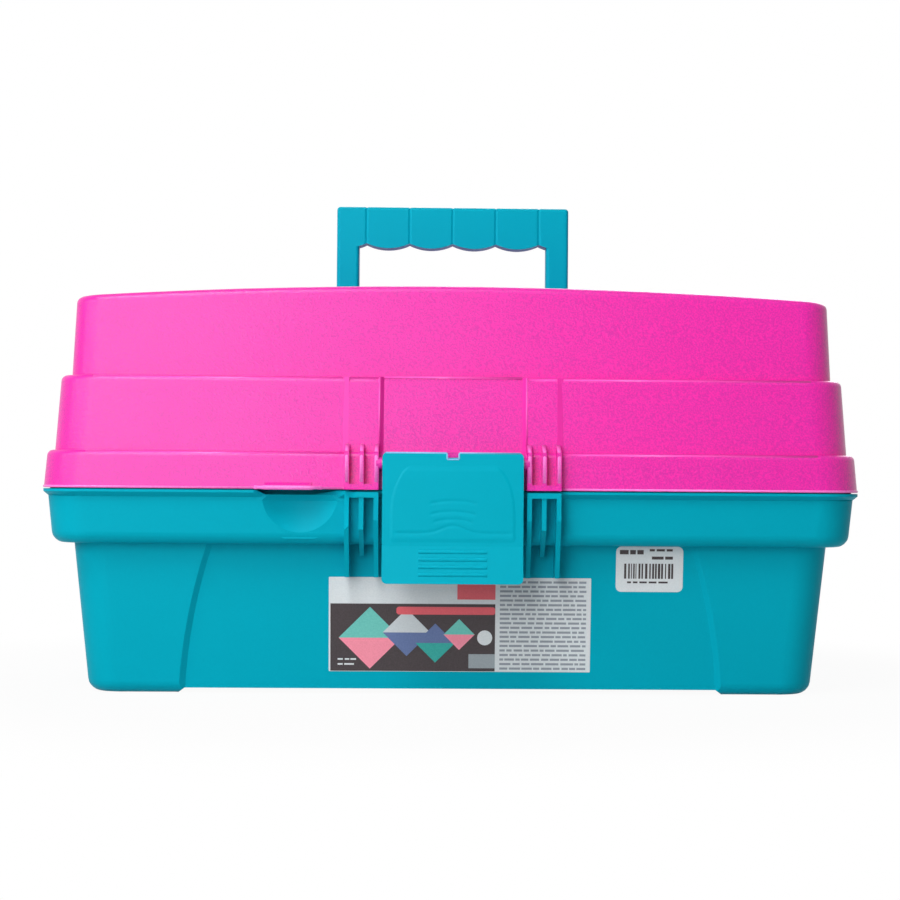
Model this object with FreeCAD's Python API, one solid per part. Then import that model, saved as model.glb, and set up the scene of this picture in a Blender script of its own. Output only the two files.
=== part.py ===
"""Tool box with a carrying handle, a stepped lid, a front latch and two cantilever trays.

Millimetres. X runs along the box, Y from its front to its back, and Z up.
The origin is on the floor under the middle of the box.
Every subcomponent is one function that returns one solid, saved as one STEP file.

The trays hang on a parallelogram on each end of the box. A rear arm and a front arm
turn on the box with the lid, and carry both trays, which stay level. A short link,
parallel to the line from the rear arm's pivot to the lid's hinge, ties arm to lid.
"""

import FreeCAD
import Part
import math
import os

# Whole box
RIM_HALF_X = 177.5
RIM_HALF_Y = 97.0
WALL = 2.5


def inset(less_x, less_y):
    """Half length and half depth of a tier that lies inside the rim by these amounts."""
    return (RIM_HALF_X - less_x, RIM_HALF_Y - less_y)


def front(depth):
    """Y of a place that lies this far behind the rim's front edge."""
    return depth - RIM_HALF_Y


def back(depth):
    """Y of a place that lies this far in front of the rim's back edge."""
    return RIM_HALF_Y - depth


# Levels, from the floor up
Z_FOOT_STEP = 2.2
Z_FLOOR = 4.5
Z_BAND = 65.5
Z_RIM = 88.8
Z_LIP = Z_RIM - 3.0
Z_LIP_TIP = Z_RIM - 1.1
RIM_GAP = 0.5
Z_LID = Z_RIM + RIM_GAP
Z_LOW_STEP = 105.5
Z_HIGH_STEP = 138.0
Z_CREST = 178.1
CROWN_RISE = 6.6

# Half lengths and half depths of each tier, as (x, y)
TUB_FOOT = inset(18.0, 21.0)
TUB_TOP = inset(12.1, 12.5)
BAND_FOOT = inset(3.9, 4.5)
BAND_TOP = inset(2.1, 2.5)
LID_FOOT = inset(0.2, 0.0)
FLANGE_TOP = inset(1.5, 1.3)
MIDDLE_FOOT = inset(4.1, 4.6)
MIDDLE_TOP = inset(6.5, 7.7)
CROWN_FOOT = inset(10.7, 12.1)
CROWN_TOP = inset(12.8, 14.4)
LIP_STEP = 0.2
TUB_CORNER = 15.0
BAND_CORNER = 17.0
RIM_CORNER = 19.0
CROWN_CORNER = 13.0
TUB_ROUND = 6.0
BAND_ROUND = 5.5
STEP_ROUND = 2.6
CROWN_ROUND = 3.0
TIER_LAP = 5.0

# Sunk panels between the corner pillars of the tub
PANEL_DEPTH = 2.0
PANEL_SLOPE = 3.0
PANEL_STAND_OFF = 0.4
PILLAR_TOP_X = RIM_HALF_X - 71.2
PILLAR_MID_X = RIM_HALF_X - 62.3
PILLAR_FOOT_X = RIM_HALF_X - 58.3
PILLAR_TOP_Y = RIM_HALF_Y - 51.0
PILLAR_MID_Y = RIM_HALF_Y - 46.0
PILLAR_FOOT_Y = RIM_HALF_Y - 44.0
FOOT_SLOPE = 3.0

# Tray ledge and rests inside the tub
LEDGE = 2.5
REST_X = RIM_HALF_X - 77.5
REST_WIDE = 4.0
REST_WALL_Y = back(16.0)
REST_REACH = 7.8
REST_FOOT_REACH = 2.0
REST_TIP = 2.2
REST_TALL = 13.0

# Latch, its pin and the guard ribs beside it
LATCH_HALF_X = 30.0
LATCH_TOP = Z_LOW_STEP - 0.2
LATCH_FOOT = 49.6
LATCH_BACK_Y = front(-5.1)
LATCH_THICK = 2.5
LATCH_FLARE = 2.6
LATCH_BEND_Z = Z_BAND
LATCH_CORNER = 2.2
LATCH_PIN_Y = front(-2.4)
LATCH_PIN_Z = LATCH_TOP - 4.7
LATCH_PIN_R = 1.5
LATCH_BARREL_R = 2.6
LATCH_WEB_HALF = 1.5
CHEEK_BACK_Y = front(-1.2)
CHEEK_DROP = 4.0
CHEEK_FOOT = Z_BAND + 0.5
CHEEK_SLOPE_TOP = Z_BAND + 5.5
HOOK_HALF_X = 18.0
HOOK_TIP_Y = front(1.6)
HOOK_MID_Y = front(-1.0)
HOOK_CLEAR = 0.9
HOOK_TIP = 1.0
HOOK_MID = 3.6
HOOK_TALL = 5.6
NOTCH_HALF_X = 2.6
NOTCH_DEEP = 3.5
RIDGES = 4
RIDGE_PITCH = 3.2
RIDGE_START = 3.8
RIDGE_R = 0.8
RIDGE_SINK = 0.3
RIDGE_HALF_X = 14.5
RIB_THICK = 2.0
RIB_XS = (LATCH_HALF_X + 2.7, LATCH_HALF_X + 9.0, LATCH_HALF_X + 15.3)
RIB_FRONT_Y = front(-4.6)
RIB_TOP = Z_RIM - 0.5
RIB_FOOT = 51.5
RIB_BEND = Z_RIM - 12.5
SHORT_RIB_SETBACK = 0.6
SHORT_RIB_BEND = Z_RIM - 16.5
SHORT_RIB_FOOT = Z_BAND - 5.0
RIB_FOOT_Y = front(7.0)
SHORT_RIB_FOOT_Y = front(12.0)
RIB_ROOT_Y = front(4.0)
BAND_ROOT_Y = front(6.0)
LID_RIB_RISE = 3.6
LID_RIB_SEAT = 1.5
LID_RIB_TOP_Y = front(5.4)
LID_RIB_ROOT_Y = front(6.4)
LID_FLANGE_ROOT_Y = front(3.0)
GUARD_BAR = 2.4
BAR_ROOT = 3.5
PIN_END = 0.4
PIN_END_ROOM = 0.2
PANEL_HALF_X = LATCH_HALF_X + 1.4
LID_RECESS = 1.5
LID_BACKING = 1.2
STRIP_OUTER_X = RIB_XS[-1] - 0.3
STRIP_PROUD = 0.5

# Finger scoop in the rim, left of the latch
SCOOP_X = -RIB_XS[-1] - 20.2
SCOOP_RADIUS = 31.8
SCOOP_INNER_Y = front(7.0)
SCOOP_WALL = 2.3
SCOOP_DIP = 1.9
SCOOP_SINK = 2.7
SCOOP_LIP_TALL = 2.6
SCOOP_LIP_OUT = 1.5
DIP_LEFT = (-18.6, -14.5)
DIP_RIGHT = (5.0, 16.2)
LIFT_LIP = (SCOOP_X - 14.9, SCOOP_X + 5.0)
LIFT_LIP_OUT = 2.6
LIFT_LIP_TALL = 1.8
LIFT_LIP_ROOT = 3.4
LIFT_LIP_ROOT_Y = front(2.0)

# Lid hinge along the back
HINGE_Y = back(-0.5)
HINGE_Z = Z_RIM + 0.2
HINGE_X = RIM_HALF_X - 71.5
HINGE_XS = (-HINGE_X, HINGE_X)
KNUCKLE_R = 4.0
KNUCKLE_CLEAR = 4.5
LID_KNUCKLE = 11.2
BOX_KNUCKLE = 8.0
KNUCKLE_GAP = 0.4
HINGE_PIN_R = 1.6
NECK_ROOT_Y = back(3.6)
NECK_FOOT = Z_RIM - 14.5
NECK_SIDE = 1.6
LID_NECK_ROOT_Y = back(2.4)
LID_NECK_TOP_Y = back(0.6)
LID_NECK_SIDE = 1.4
LID_NECK_TOP = Z_LOW_STEP - 3.0
STOP_X = HINGE_X - 30.0
STOP_WIDE = 16.0
STOP_BACK_Y = back(-10.2)
STOP_FOOT = Z_RIM - 12.5
STOP_TIP = (Z_RIM - 3.9, Z_RIM - 1.0)
STOP_TOP = Z_RIM - 0.2

# Handle and its pocket in the lid
HANDLE_PIVOT_Z = Z_CREST - 6.8
HANDLE_TOP = 222.2
HANDLE_HALF_X = 54.6
HANDLE_INNER_X = HANDLE_HALF_X - 10.5
HANDLE_THICK = 11.0
GRIP_DEEP = 17.2
LOBES = 4
LOBE_END = 3.5
LOBE_PITCH = 2 * (HANDLE_INNER_X - LOBE_END) / LOBES
LOBE_DROP = 2.3
LOBE_GROOVE = 0.45
LOBE_GROOVE_HALF = 0.9
HANDLE_ROUND = 1.6
HANDLE_PIN_R = 2.4
HANDLE_PIN_START = 2.0
HANDLE_HOLE_START = 1.6
HANDLE_PIN_END = 2.8
PIN_HOLE_END = 3.0
PIN_BOSS_END = 4.0
POCKET_HALF_X = HANDLE_HALF_X + 2.2
POCKET_FRONT_Y = front(39.0)
POCKET_BACK_Y = 8.0
POCKET_FLOOR_Z = Z_CREST - 12.8
POCKET_ROUND = 4.0

# Arms and links: closed places in Y and Z, and the layers in X, outwards from a tray's end
REAR_PIVOT = (back(27.0), Z_RIM - 8.0)
FRONT_PIVOT = (front(105.0), REAR_PIVOT[1])
TO_LOWER_TRAY = (-49.2, 4.3)
TO_UPPER_TRAY = (-85.0, 30.0)
TO_LINK = (-67.0, 17.0)
ARM_X = RIM_HALF_X - 14.1
ARM_THICK = 2.5
LINK_X = ARM_X + 2.9
LINK_THICK = 2.0
LAYER_GAP = 0.3
ARM_HALF = 4.0
ARM_EYE_R = 5.2
LINK_HALF = 4.2
LINK_EYE_R = 4.8
BOSS_R = 5.0

# Rivets and fits
RIVET_R = 2.0
RIVET_HEAD_R = 3.6
RIVET_HEAD = 1.0
RIVET_BEVEL = 0.3
RUNNING = 0.06
PRESS = 0.02

# Trays, as (half length, front y, back y) at the foot and at the top
LOWER_Z = (Z_BAND + LEDGE + 0.3, Z_RIM + 15.0)
LOWER_FOOT = (ARM_X - 4.4, front(14.0), back(22.0))
LOWER_TOP = (ARM_X - 1.9, front(11.0), back(19.0))
UPPER_Z = (LOWER_Z[1] + 2.5, Z_RIM + 43.0)
UPPER_FOOT = (ARM_X - 6.9, front(16.0), back(47.0))
UPPER_TOP = (ARM_X - 4.9, front(14.0), back(45.0))
TRAY_WALL = 2.0
TRAY_CORNER = 7.0
DIVIDER = 1.6
DIVIDER_DROP = 2.5
GROOVE = 0.6
GROOVE_CLEAR = 0.05
BOSS_DEEP = 7.0

# Divider layouts: the y of the long divider, then equal boxes in front of it and behind it
LOWER_LAYOUT = (front(73.0), 4, 1)
UPPER_LAYOUT = (front(75.0), 5, 3)

OVER = 1.0
EXACT = 0.01
X_AXIS = FreeCAD.Vector(1, 0, 0)
Y_AXIS = FreeCAD.Vector(0, 1, 0)
Z_AXIS = FreeCAD.Vector(0, 0, 1)
CENTRE = FreeCAD.Vector(0, 0, 0)


def point(x, y, z):
    return FreeCAD.Vector(x, y, z)


def rounded_outline(half_x, front_y, back_y, corner, z):
    """Closed wire of a rectangle with round corners, lying at height z."""
    centre_x = half_x - corner
    low_y = front_y + corner
    high_y = back_y - corner
    corners = [(centre_x, low_y), (centre_x, high_y), (-centre_x, high_y), (-centre_x, low_y)]
    edges = []
    ends = []
    for quarter, (x, y) in enumerate(corners):
        start = (quarter - 1) * math.pi / 2
        circle = Part.Circle(point(x, y, z), Z_AXIS, corner)
        arc = Part.Arc(circle, start, start + math.pi / 2)
        edges.append(arc.toShape())
        ends.append((arc.StartPoint, arc.EndPoint))
    outline = []
    for index, edge in enumerate(edges):
        outline.append(edge)
        following = ends[(index + 1) % len(ends)][0]
        outline.append(Part.makeLine(ends[index][1], following))
    return Part.Wire(outline)


def tapered(low, low_z, high, high_z, corner, grow=0.0):
    """Solid between two round-cornered rectangles given as (half x, half y)."""
    low_wire = rounded_outline(low[0] + grow, -low[1] - grow, low[1] + grow, corner, low_z)
    high_wire = rounded_outline(high[0] + grow, -high[1] - grow, high[1] + grow, corner, high_z)
    return Part.makeLoft([low_wire, high_wire], True, True)


def block(low_x, high_x, low_y, high_y, low_z, high_z):
    return Part.makeBox(high_x - low_x, high_y - low_y, high_z - low_z, point(low_x, low_y, low_z))


def prism_along_x(outline, low_x, high_x):
    """Solid with the given (y, z) outline between two x places."""
    corners = [point(low_x, y, z) for y, z in outline]
    face = Part.Face(Part.makePolygon(corners + corners[:1]))
    return face.extrude(X_AXIS * (high_x - low_x))


def prism_along_y(outline, low_y, high_y):
    """Solid with the given (x, z) outline between two y places."""
    corners = [point(x, low_y, z) for x, z in outline]
    face = Part.Face(Part.makePolygon(corners + corners[:1]))
    return face.extrude(Y_AXIS * (high_y - low_y))


def rod(y, z, radius, low_x, high_x):
    return Part.makeCylinder(radius, high_x - low_x, point(low_x, y, z), X_AXIS)


def joined(first, others):
    return first.fuse(others).removeSplitter()


def mirrored_x(shape):
    return shape.mirror(CENTRE, X_AXIS)


def mirrored_y(shape):
    return shape.mirror(CENTRE, Y_AXIS)


def at_side(shape, side):
    """The shape itself on the +X side, or its mirror image on the -X side."""
    if side > 0:
        return shape
    return mirrored_x(shape)


def level_edges(shape, z):
    """Edges that lie wholly at height z."""
    return [edge for edge in shape.Edges
            if abs(edge.BoundBox.ZMin - z) < EXACT and abs(edge.BoundBox.ZMax - z) < EXACT]


def along(pivot, reach):
    return (pivot[0] + reach[0], pivot[1] + reach[1])


def slope_at(low, low_z, high, high_z, z):
    """Value at height z on a straight line between two (value, height) ends."""
    return low + (high - low) * (z - low_z) / (high_z - low_z)


def panel_cutter(top_half, mid_half, foot_half, low_face, high_face, depth):
    """Cutter for a sunk panel on the front, with curved side edges and sloping steps.

    Its outer outline stands just off the tapered wall and its inner one is smaller and
    lies at the given depth, so the step between pillar and panel is a slope.
    """
    outlines = []
    for narrower, sink in ((0.0, -PANEL_STAND_OFF), (PANEL_SLOPE, depth)):
        wire_points = []
        for half, z in ((foot_half, -OVER), (mid_half, Z_BAND / 2), (top_half, Z_BAND + OVER)):
            y = -slope_at(low_face, 0.0, high_face, Z_BAND, z) + sink
            wire_points.append(point(half - narrower, y, z))
        left_points = [point(-p.x, p.y, p.z) for p in reversed(wire_points)]
        right_arc = Part.Arc(*wire_points).toShape()
        left_arc = Part.Arc(*left_points).toShape()
        top_line = Part.makeLine(wire_points[2], left_points[0])
        foot_line = Part.makeLine(left_points[2], wire_points[0])
        outlines.append(Part.Wire([right_arc, top_line, left_arc, foot_line]))
    return Part.makeLoft(outlines, True, True)


def foot_channel(half, depth_half):
    """Low passage under the tub between two feet, with sloping sides, running along Y."""
    lean = FOOT_SLOPE / Z_FOOT_STEP
    top = half - FOOT_SLOPE
    foot = half + lean * OVER
    outline = [(-foot, -OVER), (foot, -OVER), (top, Z_FOOT_STEP), (-top, Z_FOOT_STEP)]
    return prism_along_y(outline, -depth_half, depth_half)


def turned_to_end(shape):
    """The same shape turned a quarter turn, from the front of the box to its +X end."""
    return shape.rotated(CENTRE, Z_AXIS, 90)


def scoop_ball(radius):
    centre_z = Z_RIM - SCOOP_DIP - SCOOP_SINK
    return Part.makeSphere(radius, point(SCOOP_X, SCOOP_INNER_Y - SCOOP_RADIUS, centre_z))


def scoop_lip():
    """Lip that follows the scoop's top edge, standing out from its hollow wall."""
    foot = point(SCOOP_X, SCOOP_INNER_Y - SCOOP_RADIUS, Z_RIM - SCOOP_DIP - SCOOP_LIP_TALL)
    outer = Part.makeCylinder(SCOOP_RADIUS + SCOOP_WALL / 2, SCOOP_LIP_TALL, foot)
    inner = Part.makeCone(SCOOP_RADIUS, SCOOP_RADIUS - SCOOP_LIP_OUT, SCOOP_LIP_TALL, foot)
    reach = block(-RIM_HALF_X, 0.0, -BAND_TOP[1], SCOOP_INNER_Y + WALL, Z_BAND, Z_RIM)
    return outer.cut(inner).common(reach)


def tub_wall_y(z):
    """Y of the middle of the front wall behind the sunk panel, at height z."""
    face = slope_at(TUB_FOOT[1], 0.0, TUB_TOP[1], Z_BAND + OVER, z)
    return PANEL_DEPTH + WALL / 2 - face


def guard_bar(root_y, low_z):
    """Bar across three guard ribs, from the wall to their front, as a (y, z) outline."""
    high_z = low_z + GUARD_BAR
    return [(root_y, low_z), (RIB_FRONT_Y, low_z), (RIB_FRONT_Y, high_z), (root_y, high_z)]


def rib_span(side):
    """X ends of the group of guard ribs on one side of the latch."""
    return sorted((side * (RIB_XS[0] - RIB_THICK / 2), side * (RIB_XS[-1] + RIB_THICK / 2)))


def guard_rib(outline, place):
    return prism_along_x(outline, place - RIB_THICK / 2, place + RIB_THICK / 2)


def pivot_bosses():
    """Bosses on the tub's end wall that hold the arms' rivets, +X end."""
    outer = BAND_TOP[0] - WALL / 2
    inner = ARM_X + ARM_THICK + LAYER_GAP
    return [rod(y, z, BOSS_R, inner, outer) for y, z in (REAR_PIVOT, FRONT_PIVOT)]


def box_knuckle_spans(centre):
    half = LID_KNUCKLE / 2
    return ((centre - half - KNUCKLE_GAP - BOX_KNUCKLE, centre - half - KNUCKLE_GAP),
            (centre + half + KNUCKLE_GAP, centre + half + KNUCKLE_GAP + BOX_KNUCKLE))


def base_tub():
    tub = tapered(TUB_FOOT, 0.0, TUB_TOP, Z_BAND + OVER, TUB_CORNER)
    tub = tub.makeFillet(TUB_ROUND, level_edges(tub, 0.0))
    band = tapered(BAND_FOOT, Z_BAND, BAND_TOP, Z_LIP, BAND_CORNER)
    band = band.makeFillet(BAND_ROUND, level_edges(band, Z_BAND))
    lip_foot = (BAND_TOP[0] + LIP_STEP, BAND_TOP[1] + LIP_STEP)
    rim = (RIM_HALF_X, RIM_HALF_Y)
    lip = tapered(lip_foot, Z_LIP, rim, Z_LIP_TIP, RIM_CORNER)
    edge = tapered(rim, Z_LIP_TIP, rim, Z_RIM, RIM_CORNER)

    pillars_x = (PILLAR_TOP_X, PILLAR_MID_X, PILLAR_FOOT_X)
    pillars_y = (PILLAR_TOP_Y, PILLAR_MID_Y, PILLAR_FOOT_Y)
    front_panel = panel_cutter(*pillars_x, TUB_FOOT[1], TUB_TOP[1], PANEL_DEPTH)
    end_panel = panel_cutter(*pillars_y, TUB_FOOT[0], TUB_TOP[0], PANEL_DEPTH)
    end_panel = turned_to_end(end_panel)
    tub = tub.cut([front_panel, mirrored_y(front_panel), end_panel, mirrored_x(end_panel)])
    body = joined(tub, [band, lip, edge])

    deep = WALL + PANEL_DEPTH
    well_foot = (TUB_FOOT[0] - deep, TUB_FOOT[1] - deep)
    well_top = (TUB_TOP[0] - deep, TUB_TOP[1] - deep)
    well = tapered(well_foot, Z_FLOOR, well_top, Z_BAND + LEDGE + OVER, TUB_CORNER - deep)
    well = well.makeFillet(WALL, level_edges(well, Z_FLOOR))
    shelf_foot = (BAND_FOOT[0] - WALL, BAND_FOOT[1] - WALL)
    shelf_top = (BAND_TOP[0] - WALL + LIP_STEP, BAND_TOP[1] - WALL + LIP_STEP)
    shelf = tapered(shelf_foot, Z_BAND + LEDGE, shelf_top, Z_RIM + OVER, BAND_CORNER - WALL)
    body = body.cut([well, shelf])

    backing = scoop_ball(SCOOP_RADIUS + SCOOP_WALL)
    behind = block(SCOOP_X - SCOOP_RADIUS, SCOOP_X + SCOOP_RADIUS,
                   front(WALL + OVER + OVER), SCOOP_INNER_Y + 2 * WALL, Z_BAND + LEDGE, Z_RIM)
    additions = [backing.common(behind)]
    rest_top = Z_BAND + LEDGE
    rest = [(REST_WALL_Y, rest_top), (REST_WALL_Y - REST_REACH, rest_top),
            (REST_WALL_Y - REST_REACH, rest_top - REST_TIP),
            (REST_WALL_Y - REST_FOOT_REACH, rest_top - REST_TALL), (REST_WALL_Y, rest_top - REST_TALL)]
    for x in (-REST_X, 0.0, REST_X):
        additions.append(prism_along_x(rest, x - REST_WIDE / 2, x + REST_WIDE / 2))
    root = [(tub_wall_y(Z_BAND), Z_BAND + WALL / 4), (BAND_ROOT_Y, Z_BAND + OVER), (RIB_ROOT_Y, RIB_TOP)]
    short_front_y = RIB_FRONT_Y + SHORT_RIB_SETBACK
    long_rib = [(RIB_FRONT_Y, RIB_TOP), (RIB_FRONT_Y, RIB_BEND), (RIB_FOOT_Y, RIB_FOOT),
                (tub_wall_y(RIB_FOOT), RIB_FOOT)] + root
    short_rib = [(short_front_y, RIB_TOP), (short_front_y, SHORT_RIB_BEND),
                 (SHORT_RIB_FOOT_Y, SHORT_RIB_FOOT), (tub_wall_y(SHORT_RIB_FOOT), SHORT_RIB_FOOT)] + root
    bar = guard_bar(front(BAR_ROOT), RIB_TOP - GUARD_BAR)
    for side in (-1, 1):
        for place, outline in zip(RIB_XS, (long_rib, short_rib, long_rib)):
            additions.append(guard_rib(outline, side * place))
        additions.append(prism_along_x(bar, *rib_span(side)))
    for boss in pivot_bosses():
        additions.extend([boss, mirrored_x(boss)])
    neck = [(NECK_ROOT_Y, NECK_FOOT), (HINGE_Y + KNUCKLE_R - NECK_SIDE / 4, HINGE_Z - NECK_SIDE),
            (HINGE_Y, HINGE_Z), (NECK_ROOT_Y, Z_RIM)]
    stop = [(NECK_ROOT_Y, STOP_FOOT), (STOP_BACK_Y, STOP_TIP[0]), (STOP_BACK_Y, STOP_TIP[1]),
            (HINGE_Y, STOP_TOP), (NECK_ROOT_Y, STOP_TOP)]
    for centre in HINGE_XS:
        for low_x, high_x in box_knuckle_spans(centre):
            additions.append(rod(HINGE_Y, HINGE_Z, KNUCKLE_R, low_x, high_x))
            additions.append(prism_along_x(neck, low_x, high_x))
    for centre in (-STOP_X, STOP_X):
        additions.append(prism_along_x(stop, centre - STOP_WIDE / 2, centre + STOP_WIDE / 2))
    body = joined(body, additions)

    dip = [(SCOOP_X + DIP_LEFT[0], Z_RIM + EXACT), (SCOOP_X + DIP_LEFT[1], Z_RIM - SCOOP_DIP),
           (SCOOP_X + DIP_RIGHT[0], Z_RIM - SCOOP_DIP), (SCOOP_X + DIP_RIGHT[1], Z_RIM + EXACT)]
    body = body.cut([scoop_ball(SCOOP_RADIUS), prism_along_y(dip, front(-OVER), SCOOP_INNER_Y + 2 * WALL)])
    body = joined(body, [scoop_lip()])

    cuts = []
    cuts.append(foot_channel(PILLAR_FOOT_X, RIM_HALF_Y))
    cuts.append(turned_to_end(foot_channel(PILLAR_FOOT_Y, RIM_HALF_X)))
    for centre in HINGE_XS:
        half = LID_KNUCKLE / 2 + KNUCKLE_GAP
        cuts.append(rod(HINGE_Y, HINGE_Z, KNUCKLE_CLEAR, centre - half, centre + half))
        span = LID_KNUCKLE / 2 + KNUCKLE_GAP + BOX_KNUCKLE
        cuts.append(rod(HINGE_Y, HINGE_Z, HINGE_PIN_R - PRESS, centre - span - OVER, centre + span + OVER))
    end_wall = BAND_TOP[0] - WALL - OVER
    for y, z in (REAR_PIVOT, FRONT_PIVOT):
        hole = rod(y, z, RIVET_R - PRESS, ARM_X, end_wall)
        cuts.extend([hole, mirrored_x(hole)])
    return body.cut(cuts).removeSplitter()


def crown(half_foot, half_top, crest_z, corner, foot_z):
    """Top tier: a tapered block under a shallow arch that runs along X."""
    tall = tapered(half_foot, foot_z, half_top, crest_z + OVER, corner)
    side_z = crest_z - CROWN_RISE
    left = point(-RIM_HALF_X, 0, side_z)
    right = point(RIM_HALF_X, 0, side_z)
    arc = Part.Arc(left, point(0, 0, crest_z), right).toShape()
    low_left = point(-RIM_HALF_X, 0, foot_z - OVER)
    low_right = point(RIM_HALF_X, 0, foot_z - OVER)
    sides = [Part.makeLine(right, low_right), Part.makeLine(low_right, low_left),
             Part.makeLine(low_left, left)]
    arch = Part.Face(Part.Wire([arc] + sides)).extrude(Y_AXIS * (2 * RIM_HALF_Y))
    return tall.common(arch.translated(point(0, -RIM_HALF_Y, 0)))


def crown_rim_edges(shape):
    """Edges around the arched top face."""
    top = max(shape.Faces, key=lambda face: face.CenterOfMass.z)
    return top.Edges


def lid_shell():
    flange = tapered(LID_FOOT, Z_LID, FLANGE_TOP, Z_LOW_STEP, RIM_CORNER)
    flange = flange.makeFillet(STEP_ROUND, level_edges(flange, Z_LOW_STEP))
    middle = tapered(MIDDLE_FOOT, Z_LOW_STEP - TIER_LAP, MIDDLE_TOP, Z_HIGH_STEP, BAND_CORNER)
    middle = middle.makeFillet(STEP_ROUND, level_edges(middle, Z_HIGH_STEP))
    top = crown(CROWN_FOOT, CROWN_TOP, Z_CREST, CROWN_CORNER, Z_HIGH_STEP - TIER_LAP)
    top = top.makeFillet(CROWN_ROUND, crown_rim_edges(top))
    outside = joined(flange, [middle, top])

    hollows = [
        tapered(LID_FOOT, Z_LID - OVER, FLANGE_TOP, Z_LOW_STEP - WALL,
                RIM_CORNER - WALL, grow=-WALL),
        tapered(MIDDLE_FOOT, Z_LOW_STEP - TIER_LAP, MIDDLE_TOP, Z_HIGH_STEP - WALL,
                BAND_CORNER - WALL, grow=-WALL),
    ]
    inner_foot = (CROWN_FOOT[0] - WALL, CROWN_FOOT[1] - WALL)
    inner_top = (CROWN_TOP[0] - WALL, CROWN_TOP[1] - WALL)
    hollows.append(crown(inner_foot, inner_top, Z_CREST - WALL, CROWN_CORNER - WALL, Z_HIGH_STEP - TIER_LAP))
    return outside, hollows


def front_slab(low, low_z, high, high_z, outer, inner, half_x):
    """Slab parallel to the sloping front wall, between two depths behind its face."""
    outline = [(-low + outer, low_z), (-high + outer, high_z), (-high + inner, high_z), (-low + inner, low_z)]
    return prism_along_x(outline, -half_x, half_x)


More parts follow.
